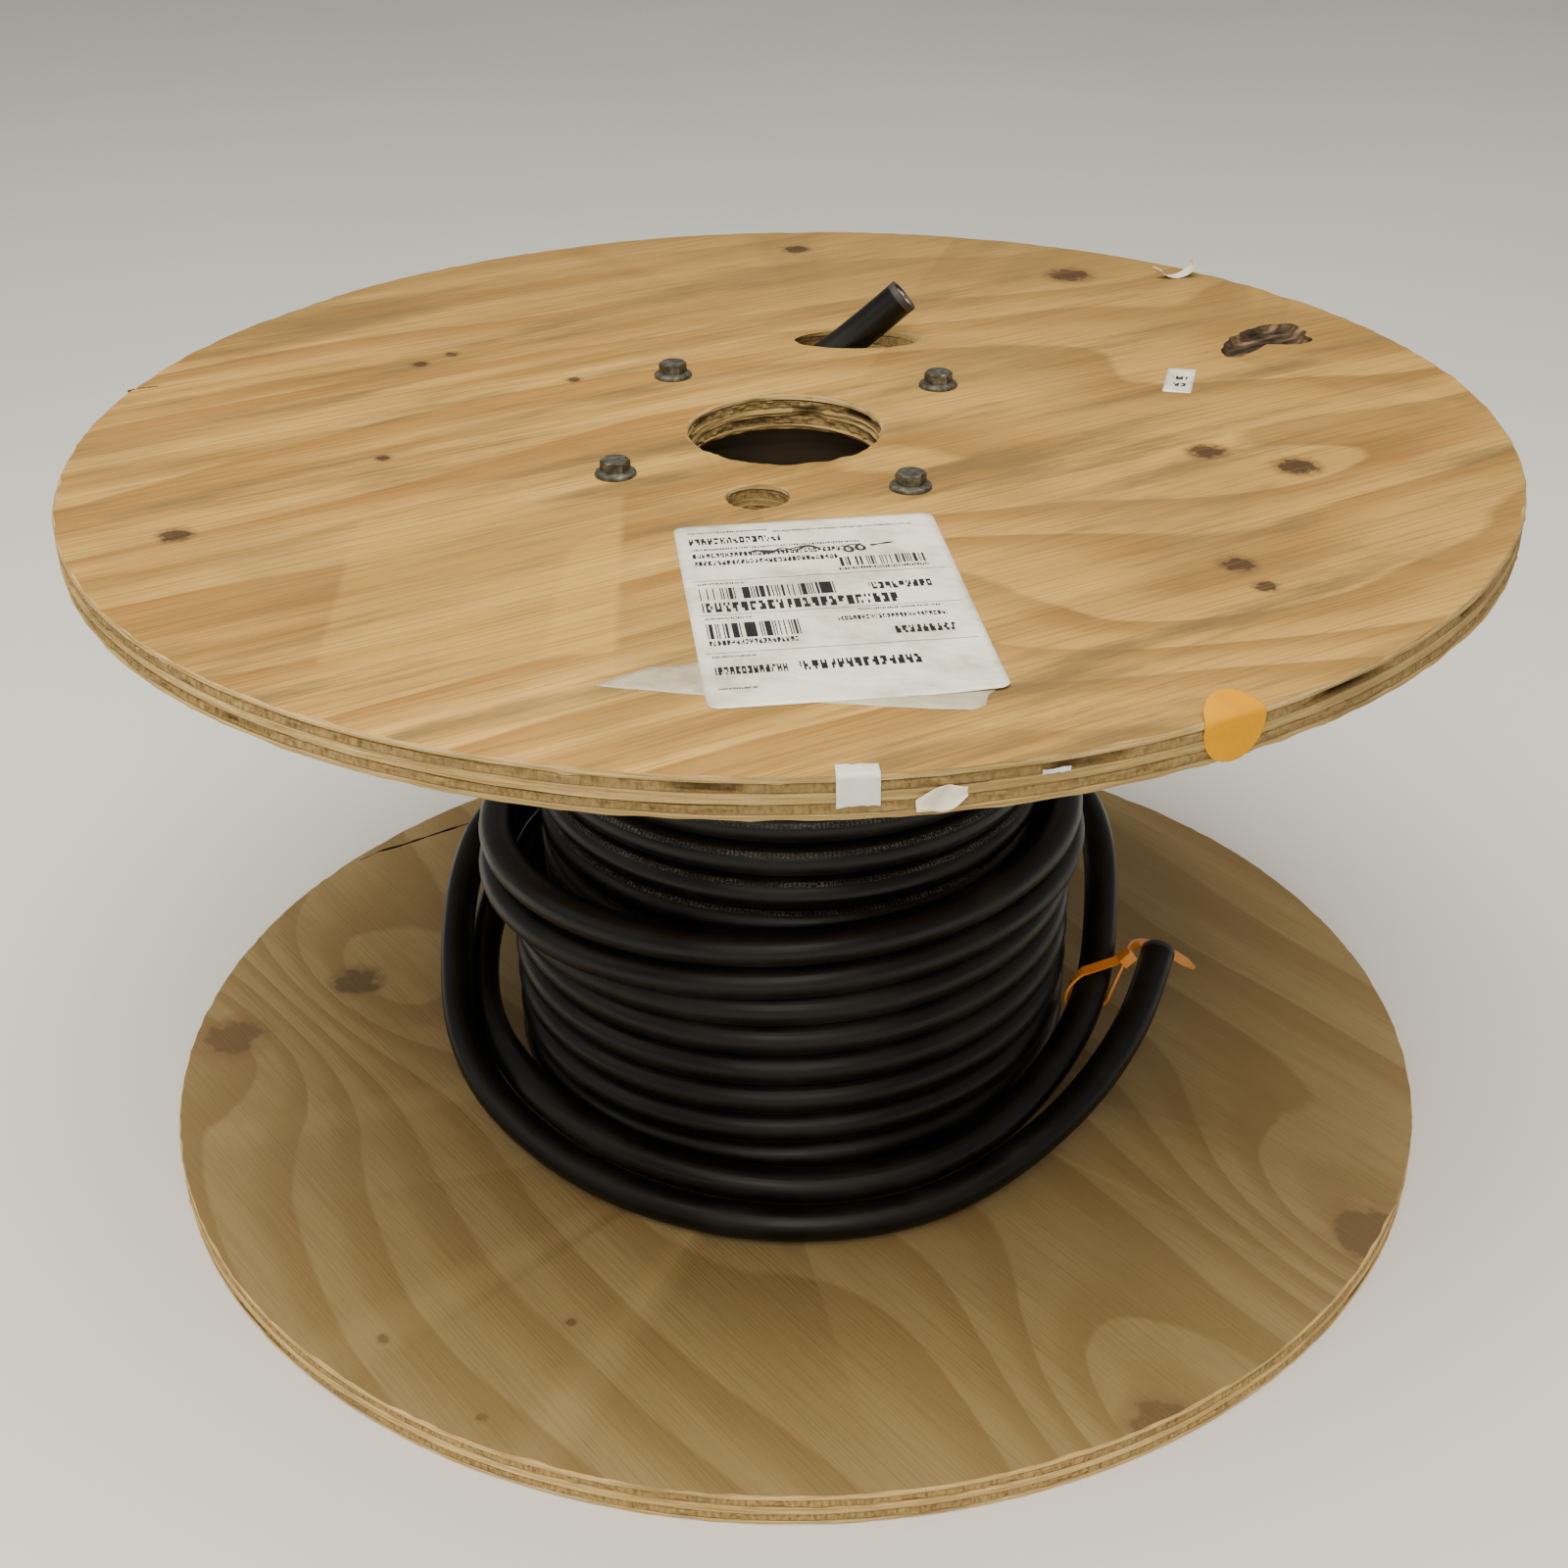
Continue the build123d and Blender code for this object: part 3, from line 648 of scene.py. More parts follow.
def ply_material(name, base, side_shade):
    """Cut edge of the plywood: light long plies, darker torn cross plies, thin dark glue lines,
    near-black painted shade where the edge is deeply recessed, and painted shade that grows to the
    right."""
    shader = Shader(name)
    x, _, z = shader.split(shader.place)
    wobble = shader.math("SUBTRACT", shader.noise(shader.place, 30, 2), 0.5)
    wobble = shader.math("MULTIPLY", wobble, 0.05)
    level = shader.math("DIVIDE", shader.math("SUBTRACT", z, base), FLANGE_THICKNESS)
    level = shader.math("ADD", level, wobble)
    drawn = shader.noise(shader.mapped(shader.place, 0, (45, 45, 1500)), 1, 4)
    torn = shader.noise(shader.mapped(shader.place, 0, (700, 700, 260)), 1, 3)
    light = shader.ramp(
        drawn, (0.28, (0.34, 0.23, 0.115)), (0.45, (0.60, 0.43, 0.23)), (0.62, (0.78, 0.59, 0.34)))
    dark = shader.ramp(
        torn, (0.3, (0.17, 0.112, 0.06)), (0.5, (0.40, 0.285, 0.155)), (0.68, (0.54, 0.39, 0.21)))
    colour = light
    for low, high in ((PLIES[0], PLIES[1]), (PLIES[2], PLIES[3])):
        band = shader.math("MULTIPLY", shader.between(level, low - 0.01, low + 0.01),
                           shader.between(level, high - 0.01, high + 0.01, 1, 0))
        colour = shader.mix(band, colour, dark)
    for line in PLIES:
        off_line = shader.math("ABSOLUTE", shader.math("SUBTRACT", level, line))
        glue = shader.between(off_line, 0.004, 0.018, 0.75, 0)
        colour = shader.mix(glue, colour, (0.10, 0.06, 0.035))
    blotches = shader.noise(shader.mapped(shader.place, 0, (14, 14, 40)), 1, 3)
    stain = shader.between(blotches, 0.5, 0.72, 0, 0.55)
    colour = shader.mix(stain, colour, (0.20, 0.145, 0.085))
    # painted shade: the edge darkens towards the right, away from the light on the left; side_shade sets
    # how much
    painted_side_shade = shader.math("MULTIPLY", shader.between(x, -0.24, 0.0, 0.2, 1), side_shade)
    colour = shader.mix(painted_side_shade, colour, (0.20, 0.145, 0.085))
    # painted shade: near-black where the edge lies deep inside the true edge
    recess = shader.node("ShaderNodeAttribute", attribute_name="recess").outputs["Fac"]
    shadow = shader.between(recess, 1.1 * MM, 3.6 * MM, 0, 0.88)
    colour = shader.mix(shadow, colour, (0.05, 0.032, 0.018))
    colour = shader.mix(1, colour, (1, 0.93, 0.66), "MULTIPLY")
    shader.bump(shader.math("ADD", drawn, shader.math("MULTIPLY", torn, 0.8)), 0.0006)
    return shader.done(colour, 0.86, shine=0.2)


def torn_material():
    """Inside of knots and splits: near-black bark with brown torn wood."""
    shader = Shader("torn_wood")
    patchy = shader.noise(shader.mapped(shader.place, -TOP_GRAIN, (60, 160, 60)), 1, 4)
    colour = shader.ramp(
        patchy, (0.40, (0.012, 0.009, 0.007)), (0.55, (0.07, 0.045, 0.028)), (0.70, (0.26, 0.17, 0.09)))
    shader.bump(patchy, 0.002)
    return shader.done(colour, 0.9, shine=0.15)


def spots_on(shader, colour, spots, tone, grain_noise):
    """Paints dark knots in soft halos: each spot is (x, y, reach) in millimetres, and noise breaks
    its edge."""
    for x, y, reach in spots:
        ragged = shader.math("MULTIPLY_ADD", grain_noise, 1.9, 0.05)
        near = shader.near(shader.place_flat, (x * MM, y * MM, 0), 1.25 * reach * MM)
        near = shader.math("MULTIPLY", near, ragged)
        halo = [1.9 * part for part in tone]
        colour = shader.mix(shader.between(near, 0.12, 0.50, 0, 0.55), colour, halo)
        colour = shader.mix(shader.between(near, 0.46, 0.66, 0, 0.94), colour, tone)
    return colour


def flatten(shader):
    """Keeps a position's X and Y and drops its height."""
    shader.place_flat = shader.mapped(shader.place, 0, (1, 1, 0))
    return shader.place_flat


def grown(shader, grain, slope, noise_scale, swirl, knots):
    """Height of the log's growth rings over a face: even across the grain, pushed about by a slow
    noise drawn out along it, with a hill at each knot. A ring is one unit of height."""
    lengthwise = shader.mapped(shader.place_flat, -grain)
    _, v, _ = shader.split(lengthwise)
    slow = shader.noise(shader.mapped(shader.place_flat, -grain, noise_scale), 1, 1.6, 0.45)
    small = shader.noise(shader.mapped(shader.place_flat, -grain, (9, 60, 1)), 1, 3)
    height = shader.math("MULTIPLY_ADD", v, slope, shader.math("MULTIPLY", slow, swirl))
    height = shader.math("MULTIPLY_ADD", small, 0.16, height)
    squeezed = shader.mapped(shader.place_flat, -grain, (0.5, 1, 1))
    for x, y, reach, rise in knots:
        centre = turned((x * MM, y * MM), -grain, (0.5, 1))
        height = shader.math("MULTIPLY_ADD", shader.near(squeezed, centre, reach * MM), rise, height)
    return height


def top_veneer():
    """Weathered face: streaky on the left, wide swirling rings on the right, grey grime along the
    grain, dark knots, a paler yellow patch where a label was, and a faint red streak."""
    shader = Shader("top_veneer")
    place = flatten(shader)
    x, y, _ = shader.split(shader.place)
    wide = shader.noise(place, 5, 2)
    streak = shader.noise(shader.mapped(place, -TOP_GRAIN, (2.6, 34, 1)), 1, 5, 0.6)
    fine = shader.noise(shader.mapped(place, -TOP_GRAIN, (16, 620, 1)), 1, 3)
    streaky = shader.ramp(streak, (0.28, (0.20, 0.122, 0.055)), (0.41, (0.38, 0.245, 0.112)),
                          (0.50, (0.52, 0.350, 0.168)), (0.64, (0.72, 0.510, 0.260)))
    left_rings = shader.math("FRACT", grown(shader, TOP_GRAIN, 17, (1.5, 5, 1), 3.0, ()))
    hard_side = shader.ramp(left_rings, (0.0, (0, 0, 0)), (0.55, (0.05, 0.05, 0.05)),
                            (0.90, (0.8, 0.8, 0.8)), (0.97, (0.95, 0.95, 0.95)), (1.0, (0, 0, 0)))
    left = shader.mix(hard_side, streaky, (0.36, 0.205, 0.080))
    knots = ((167, -150, 62, 1.6), (209, -54, 30, 0.8), (226, 105, 60, 2.2), (148, 215, 40, 1.2),
             (95, -150, 55, -1.2))
    right_rings = shader.math("FRACT", grown(shader, TOP_GRAIN * 0.7, 15, (2.3, 4.6, 1), 8.5, knots))
    right = shader.ramp(right_rings, (0.0, (0.55, 0.385, 0.190)), (0.42, (0.50, 0.340, 0.162)),
                        (0.70, (0.32, 0.200, 0.090)), (0.94, (0.25, 0.155, 0.070)),
                        (1.0, (0.55, 0.385, 0.190)))
    right = shader.mix(0.28, right, streaky)
    side = shader.math("MULTIPLY_ADD", wide, 0.22, shader.math("MULTIPLY_ADD", y, 0.25, x))
    side = shader.between(side, 0.04, 0.19)
    colour = shader.mix(side, left, right)
    grime = shader.noise(shader.mapped(place, -TOP_GRAIN, (5, 30, 1), (3, 7, 0)), 1, 5, 0.65)
    grime = shader.between(grime, 0.50, 0.67, 0, 0.78)
    colour = shader.mix(grime, colour, (0.165, 0.130, 0.095))
    smudge = shader.noise(shader.mapped(place, 0.4, (7, 12, 1), (1, 2, 0)), 1, 4)
    smudge = shader.between(smudge, 0.48, 0.7, 0, 0.45)
    colour = shader.mix(smudge, colour, (0.315, 0.235, 0.140))
    back = shader.between(y, 0.04, 0.29, 0, 0.62)
    colour = shader.mix(back, colour, (0.30, 0.215, 0.125))
    ghost = shader.inside(
        place, [(-0.162, -0.222), (-0.060, -0.216), (-0.065, -0.074), (-0.168, -0.095)])
    bright = shader.inside(
        place, [(-0.085, -0.221), (-0.059, -0.214), (-0.064, -0.10), (-0.083, -0.128)])
    clean_wood = shader.mix(streak, (0.44, 0.29, 0.115), (0.74, 0.53, 0.24))
    colour = shader.mix(shader.math("MULTIPLY", ghost, 0.50), colour, clean_wood)
    colour = shader.mix(shader.math("MULTIPLY", bright, 0.30), colour, (0.74, 0.50, 0.20))
    spots = ((148, 215, 10), (175.5, -35.5, 7), (209, -54, 8), (167, -149.5, 6), (173.5, -169.5, 4),
             (8, 270.5, 6), (-169, -28, 3.0), (-170, 92, 3.5), (-157, 105.5, 3.0), (-96, 67, 3.0),
             (-238, -107, 6))
    colour = spots_on(shader, colour, spots, (0.060, 0.036, 0.030), shader.noise(place, 260, 4))
    red = shader.inside(
        place, [(0.250, -0.052), (0.300, -0.012), (0.302, -0.004), (0.249, -0.047)], 0.003)
    red = shader.math("MULTIPLY", red, shader.between(streak, 0.35, 0.6, 0.15, 0.6))
    colour = shader.mix(red, colour, (0.46, 0.13, 0.085))
    colour = shader.mix(shader.between(fine, 0.36, 0.52, 0.42, 0), colour, (0.20, 0.13, 0.065))
    flecks = shader.between(shader.noise(place, 900, 2), 0.70, 0.76, 0, 0.6)
    colour = shader.mix(flecks, colour, (0.11, 0.08, 0.05))
    torn = shader.noise(shader.mapped(place, -TOP_GRAIN, (70, 160, 1)), 1, 4)
    torn = shader.math("MULTIPLY", shader.near(place, (0.10, -0.25, 0), 0.055), torn)
    grain = shader.math("MULTIPLY_ADD", streak, 0.8, fine)
    shader.bump(shader.math("MULTIPLY_ADD", torn, 2.5, grain), 0.0007)
    colour = shader.mix(1, colour, (0.92, 0.79, 0.42), "MULTIPLY")
    return shader.done(colour, shader.between(streak, 0.3, 0.7, 0.78, 0.62), shine=0.3)


def bottom_veneer():
    """Cleaner face: wide bands of rings with one hard side, running across from the left, knots
    with close rings round them, a soft grain, and painted shade that darkens the wood round the winding."""
    shader = Shader("bottom_veneer")
    place = flatten(shader)
    knots = ((-230, 48, 42, 1.8), (-285, -2, 46, -2.0), (254, -157, 50, 3.0), (147, -268, 46, 2.6),
             (60, -215, 60, -1.2))
    rings = shader.math("FRACT", grown(shader, BOTTOM_GRAIN, 24, (1.7, 3.8, 1), 5.0, knots))
    streak = shader.noise(shader.mapped(place, -BOTTOM_GRAIN, (3, 60, 1)), 1, 5, 0.6)
    fine = shader.noise(shader.mapped(place, -BOTTOM_GRAIN, (18, 700, 1)), 1, 3)
    colour = shader.ramp(rings, (0.0, (0.60, 0.455, 0.255)), (0.40, (0.57, 0.425, 0.232)),
                         (0.66, (0.45, 0.312, 0.155)), (0.95, (0.40, 0.265, 0.122)),
                         (1.0, (0.60, 0.455, 0.255)))
    colour = shader.mix(shader.between(streak, 0.36, 0.64, 0.30, 0), colour, (0.34, 0.225, 0.105))
    blotch = shader.noise(shader.mapped(place, 0.2, (6, 11, 1), (4, 1, 0)), 1, 4)
    blotch = shader.between(blotch, 0.5, 0.72, 0, 0.35)
    colour = shader.mix(blotch, colour, (0.36, 0.265, 0.150))
    reds = ((-285, -2, 15), (256, -158, 17), (146, -269, 13))
    colour = spots_on(shader, colour, reds, (0.150, 0.078, 0.050), shader.noise(place, 90, 4))
    darkest = ((-230, 48, 11), (-222, 42, 4), (-234, 50, 3))
    colour = spots_on(shader, colour, darkest, (0.07, 0.044, 0.030), shader.noise(place, 160, 4))
    small = ((-96, -208, 2.2), (-175, -217, 2.6), (-128, -262, 2.2))
    colour = spots_on(shader, colour, small, (0.16, 0.09, 0.05), shader.noise(place, 300, 2))
    colour = shader.mix(shader.between(fine, 0.36, 0.52, 0.30, 0), colour, (0.27, 0.18, 0.09))
    shader.bump(shader.math("MULTIPLY_ADD", streak, 0.6, fine), 0.0004)
    # painted shade: the face darkens round the winding, where the top flange and the cable shade it
    painted_winding_shade = shader.between(shader.near(place, (0, -0.03, 0), 0.36), 0.05, 0.55, 0, 0.6)
    colour = shader.mix(painted_winding_shade, colour, (0.16, 0.115, 0.062))
    colour = shader.mix(1, colour, (1, 0.97, 0.76), "MULTIPLY")
    return shader.done(colour, shader.between(streak, 0.3, 0.7, 0.66, 0.52), shine=0.35)


KNOT_HOLE = [
    (203, 84), (206, 100), (214, 114), (228, 127), (243, 131), (250, 121), (249, 106), (243, 99),
    (229, 101), (219, 91), (211, 81),
]
torn_wood = torn_material()
top_rim = ply_relief(
    11, 900, 1.0,
    voids=((3, -52, 5, 2.6), (3, -36, 2.5, 2.0), (3, -72, 3, 2.4), (3, -95, 2.5, 1.8), (1, 200, 6, 2.4),
           (1, -128, 4, 1.8), (3, 120, 6, 3.0), (1, 60, 5, 2.6), (3, 20, 5, 2.4)),
    cracks=((20, -155, 16, 2.6), (12, -140, 12, 2.4), (27, -118, 10, 1.6), (12, -105, 12, 2.0),
            (5, -150, 9, 1.6), (20, 100, 20, 2.0), (12, -20, 12, 1.8)),
    top_wear=0.55, bottom_wear=0.55)
top_arbor = ply_relief(
    31, 220, 1.5,
    voids=((3, 35, 16, 2.2), (2, 75, 10, 1.6), (1, 110, 14, 1.8), (3, 150, 8, 1.8), (1, 20, 10, 2.0),
           (3, 250, 30, 2.0)),
    cracks=((27, 60, 40, 1.6), (12, 95, 30, 1.6)), top_wear=0.9)
slot = slanted_wall(ply_relief(51, 120, 0.5, top_wear=0.2, bottom_wear=0.2), TOP_BASE)
left_split = crack_loop([(-300.5, 62), (-296, 65), (-287, 67.5)], 1.6, 71)
flange(
    "plywood_top", TOP_BASE, 11, top_rim, top_arbor, [slot],
    [(smooth_loop(KNOT_HOLE, 56, 70, 0.9), 3.2), (left_split, 2.0)], [],
    [top_veneer(), ply_material("plies_top", TOP_BASE, 0.52), torn_wood])

bottom_rim = ply_relief(
    111, 900, 0.8,
    voids=((3, -60, 3, 2.0), (1, -140, 5, 2.0), (1, 70, 6, 2.4), (3, 190, 5, 2.2), (1, -35, 4, 1.8)),
    cracks=((12, -120, 16, 1.6), (20, -95, 22, 1.4), (5, -70, 14, 1.6), (27, -45, 12, 1.6),
            (12, 150, 22, 1.8)),
    top_wear=0.4, bottom_wear=0.6)
bottom_arbor = ply_relief(131, 220, 1.1, voids=((1, 80, 20, 2.4), (3, 200, 20, 2.2)), top_wear=0.6)
long_split = crack_loop([(-249, 169), (-238, 180), (-228, 185), (-208, 198.5), (-188, 211.5)], 1.9, 72)
nut_places = [(BOLT_CIRCLE * cos(angle), BOLT_CIRCLE * sin(angle)) for angle in BOLT_ANGLES]
flange(
    "plywood_bottom", 0.0, 111, bottom_rim, bottom_arbor, [], [(long_split, 2.6)], nut_places,
    [bottom_veneer(), ply_material("plies_bottom", 0.0, 0.1), torn_wood])


# ---- steel, fibre, nylon and paper finishes ----
def steel_material():
    """Dulled zinc: grey, with darker dirty patches and brighter rubbed ones."""
    shader = Shader("dull_zinc")
    patchy = shader.noise(shader.place, 320, 4)
    colour = shader.ramp(patchy, (0.32, (0.050, 0.048, 0.036)), (0.5, (0.105, 0.102, 0.082)),
                         (0.68, (0.20, 0.195, 0.165)))
    shader.bump(shader.noise(shader.place, 1500, 2), 0.0001)
    return shader.done(colour, shader.between(patchy, 0.3, 0.7, 0.62, 0.42), Metallic=0.75)


def fibre_material():
    """Wound fibreboard: brown-grey with faint level winding lines."""
    shader = Shader("wound_fibre")
    lines = shader.noise(shader.mapped(shader.place, 0, (12, 12, 160)), 1, 4)
    colour = shader.ramp(lines, (0.35, (0.15, 0.105, 0.062)), (0.55, (0.24, 0.175, 0.110)),
                         (0.7, (0.30, 0.225, 0.145)))
    shader.bump(lines, 0.0004)
    return shader.done(colour, 0.85)


def nylon_material():
    """Orange nylon, a little see-through at its thin end, with faint moulding marks."""
    shader = Shader("orange_nylon")
    x, _, _ = shader.split(shader.place)
    cloud = shader.noise(shader.place, 180, 3)
    colour = shader.mix(cloud, (0.72, 0.20, 0.012), (0.88, 0.30, 0.025))
    colour = shader.mix(shader.between(x, 0.180, 0.200, 0, 0.35), colour, (0.80, 0.47, 0.20))
    shader.bump(shader.noise(shader.place, 900, 2), 0.0001)
    return shader.done(colour, 0.36, **{"Subsurface Weight": 0.12})


def wire_material(name, first, second):
    """Coloured insulation, slightly mottled."""
    shader = Shader(name)
    return shader.done(shader.mix(shader.noise(shader.place, 500, 3), first, second), 0.45)


def copper_material():
    """Cut copper strands: bright where sheared, duller between."""
    shader = Shader("cut_copper")
    patchy = shader.noise(shader.place, 1800, 2)
    colour = shader.ramp(patchy, (0.35, (0.42, 0.22, 0.12)), (0.6, (0.86, 0.56, 0.38)))
    return shader.done(colour, 0.32, Metallic=0.95)


def paper_material(name, pale, shade, roughness, wrinkle=0.0003, shine=0.5):
    """Paper, tape or rubber: two tones in cloudy stains, soft creases and a fine tooth."""
    shader = Shader(name)
    cloud = shader.noise(shader.place, 55, 5, 0.6)
    colour = shader.ramp(cloud, (0.34, shade), (0.55, pale))
    crease = shader.noise(shader.place, 130, 3, 0.5, 0.6)
    shader.bump(shader.math("MULTIPLY_ADD", shader.noise(shader.place, 1200, 2), 0.12, crease), wrinkle)
    return shader.done(colour, roughness, shine)


# Marks on the label, as (kind, left, bottom, right, top, size) in millimetres from its lower left
# corner. Kinds are bars of random width, blocks in word-like groups, and plain rules.
LABEL_MARKS = (
    ("words", 5, 134, 40, 140, 1.45), ("words", 5, 144.5, 36, 146, 0.55),
    ("words", 38, 142.5, 92, 144, 0.5), ("words", 5, 128.5, 70, 130.2, 0.6),
    ("words", 5, 121.5, 62, 125.5, 1.05), ("words", 5, 114.5, 60, 118.5, 1.05),
    ("bars", 58, 107, 92, 115, 0.42), ("words", 58, 103.5, 92, 105.8, 0.6),
    ("rule", 3, 100.4, 98, 100.8, 0), ("words", 5, 97, 22, 98.6, 0.5),
    ("bars", 5, 84, 55, 94, 0.45), ("words", 67, 85, 90, 91, 1.5),
    ("words", 5, 73.5, 76, 81.5, 1.9), ("rule", 3, 71.0, 98, 71.4, 0),
    ("words", 5, 67.5, 22, 69, 0.5), ("words", 60, 68, 90, 69.6, 0.5),
    ("words", 52, 60.5, 91, 64.0, 0.9), ("bars", 5, 52, 38, 64, 0.45),
    ("words", 5, 46.5, 36, 50.5, 0.95), ("words", 70, 47.5, 92, 53.5, 1.45),
    ("rule", 3, 40.5, 98, 40.9, 0), ("words", 5, 37, 20, 38.4, 0.5),
    ("words", 5, 24, 30, 30, 1.2), ("words", 34, 24, 76, 31, 1.75),
    ("words", 5, 13, 18, 14.4, 0.5),
)
PRICE_MARKS = (("words", 3, 17, 9.5, 21.5, 2.6), ("words", 3, 8, 9.5, 12.5, 2.2))


def label_material(name, marks):
    """White label stock under a thin film: cloudy stains and creases, black bars, word-like groups
    of small blocks that spell nothing, and rules between them."""
    shader = Shader(name)
    u, v, _ = shader.split(shader.uv)
    u, v = (shader.math("MULTIPLY", value, 1 / MM) for value in (u, v))
    ink = None
    for kind, left, bottom, right, top, size in marks:
        inside = shader.math(
            "MULTIPLY", shader.math("COMPARE", u, (left + right) / 2, (right - left) / 2),
            shader.math("COMPARE", v, (bottom + top) / 2, (top - bottom) / 2))
        if kind != "rule":
            cell = shader.node("ShaderNodeCombineXYZ")
            column = shader.math("DIVIDE", u, size * (0.42 if kind == "words" else 1))
            shader.put(cell.inputs[0], shader.math("FLOOR", column))
            if kind == "words":
                row = shader.math("DIVIDE", shader.math("SUBTRACT", v, bottom), (top - bottom) / 3.01)
                shader.put(cell.inputs[1], shader.math("FLOOR", row))
            shader.put(cell.inputs[2], bottom + left)
            chance = shader.node("ShaderNodeTexWhiteNoise", noise_dimensions="3D")
            shader.put(chance.inputs["Vector"], cell.outputs[0])
            share_bare = 0.24 if kind == "words" else 0.48
            dark = shader.math("GREATER_THAN", chance.outputs["Value"], share_bare)
            inside = shader.math("MULTIPLY", inside, dark)
            if kind == "words":
                gap = shader.math("FRACT", shader.math("DIVIDE", u, size * 1.68))
                inside = shader.math("MULTIPLY", inside, shader.math("LESS_THAN", gap, 0.74))
        ink = inside if ink is None else shader.math("MAXIMUM", ink, inside)
    cloud = shader.noise(shader.place, 34, 5, 0.62)
    paper = shader.ramp(cloud, (0.36, (0.58, 0.56, 0.48)), (0.50, (0.80, 0.785, 0.69)),
                        (0.60, (0.93, 0.91, 0.82)))
    colour = shader.mix(ink, paper, (0.006, 0.006, 0.0065))
    crease = shader.noise(shader.mapped(shader.place, 0.5, (60, 120, 1)), 1, 4, 0.5, 0.8)
    shader.bump(crease, 0.0009)
    return shader.done(colour, shader.between(crease, 0.35, 0.65, 0.30, 0.5))


# ---- bolts: flanged hex heads on shafts that reach the nuts ----
HEX_HALF_WIDTH = 5.5 * MM
# A bolt from its lower end up, as (radius, height over the top face, section) in millimetres.
# Section 0 is round, 1 is the hexagon, and 2 is the hexagon with its corners cut at the radius.
BOLT_PROFILE = (
    (0.0, -333.6, 0), (3.2, -333.6, 0), (3.97, -332.8, 0), (3.97, -0.1, 0), (8.4, 0.02, 0),
    (8.65, 0.35, 0), (8.6, 1.0, 0), (8.3, 1.5, 0), (7.6, 1.85, 0), (0.0, 2.3, 1), (0.0, 5.9, 1),
    (6.1, 6.3, 2), (5.5, 6.6, 2), (4.9, 6.7, 0), (2.0, 6.75, 0), (0.0, 6.75, 0),
)


def bolt_surface(at):
    """A bolt as radius over angle and height: shaft, washer, then a hexagon whose corners are cut
    by a cone at the top."""
    angle = np.linspace(0, 2 * pi, 96, endpoint=False)
    hexagon = HEX_HALF_WIDTH / np.cos((angle % (pi / 3)) - pi / 6)
    rings = []
    for radius, height, section in BOLT_PROFILE:
        reach = hexagon if section == 1 else np.full(len(angle), radius * MM)
        if section == 2:
            reach = np.minimum(hexagon, reach)
        x, y = at[0] + reach * np.cos(angle), at[1] + reach * np.sin(angle)
        rings.append(np.column_stack([x, y, np.full(len(angle), SPOOL_HEIGHT + height * MM)]))
    return np.stack(rings), quads(len(rings), len(angle), closed=True)


def repaint(node, material):
    """Gives a node of the solid model another material."""
    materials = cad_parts[node].data.materials
    materials.clear()
    materials.append(material)


dull_zinc = steel_material()
for number, at in enumerate(nut_places, start=1):
    bolt = piece(f"bolt_{number}", [(*bolt_surface(at), 0)], [dull_zinc], sharp=28)
    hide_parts(f"through_bolt_{number}")
    repaint(f"tee_nut_{number}", dull_zinc)
repaint("core_tube", fibre_material())


# ---- cut ends of the cable: jacket ring, filler, three power wires and a ground wire ----
def cut_end(name, tip, following, nodes):
    """A ring of jacket turned about the cable's axis at its tip, and wires set round that axis.

    Each wire is turned about its own axis and holds six strands round one. Profiles are (radius,
    distance beyond the tip) in millimetres."""
    tip, following = np.asarray(tip), np.asarray(following)
    outward = (tip - following) / np.linalg.norm(tip - following)
    side = np.cross((0, 0, 1), -outward)
    side /= np.linalg.norm(side)
    upward = np.cross(-outward, side)
    bore = JACKET_BORE / MM
    rim = [(0.0, -7.6), (bore, -7.6), (bore, -0.15), (bore + 0.15, 0.05), (7.9, 0.05), (8.15, -0.25),
           (8.18, -3.0)]
    patches = [(*turned_surface(np.array(rim) * MM, tip, outward), 0)]
    jacket = piece(f"{name}_jacket", patches, [cut_rubber], sharp=50)
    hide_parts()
    made = [jacket]
    size = WIRE_RADIUS / MM
    wire = [(0.0, -7.5), (size - 0.05, -7.5), (size - 0.05, -0.85), (size - 0.25, -0.7), (1.55, -0.75),
            (1.5, -1.1), (0.0, -1.1)]
    dome = [(0.0, -1.3), (0.47, -1.3), (0.47, -0.62), (0.40, -0.5), (0.0, -0.44)]
    for kind, angles, insulation in (("power", (0, 90, 180), grey_wire), ("ground", (270,), green_wire)):
        patches = []
        for turn in angles:
            at = tip + WIRE_CIRCLE * (cos(radians(turn)) * side + sin(radians(turn)) * upward)
            patches.append((*turned_surface(np.array(wire) * MM, at, outward, 32), 0))
            for strand in range(7):
                swing = radians(60 * strand)
                reach = 0.98 * MM * (strand > 0)
                centre = at + reach * (cos(swing) * side + sin(swing) * upward)
                patches.append((*turned_surface(np.array(dome) * MM, centre, outward, 14), 1))
        wires = piece(f"{name}_cut_{kind}", patches, [insulation, cut_copper],
                      sharp=40)
        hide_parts(f"{nodes}_{kind}_wire" + ("s" if kind == "power" else ""))
        made.append(wires)
    return made


cut_rubber = paper_material("cut_rubber", (0.035, 0.035, 0.036), (0.018, 0.018, 0.019), 0.6)
grey_wire = wire_material("grey_insulation", (0.10, 0.10, 0.10), (0.19, 0.19, 0.185))
green_wire = wire_material("ground_insulation", (0.16, 0.26, 0.03), (0.36, 0.42, 0.05))
cut_copper = copper_material()
cord_pieces = cut_end("start_end", start_route[0], start_route[1], "start")
cord_pieces += cut_end("free_end", loose_route[-1], loose_route[-2], "free_end")


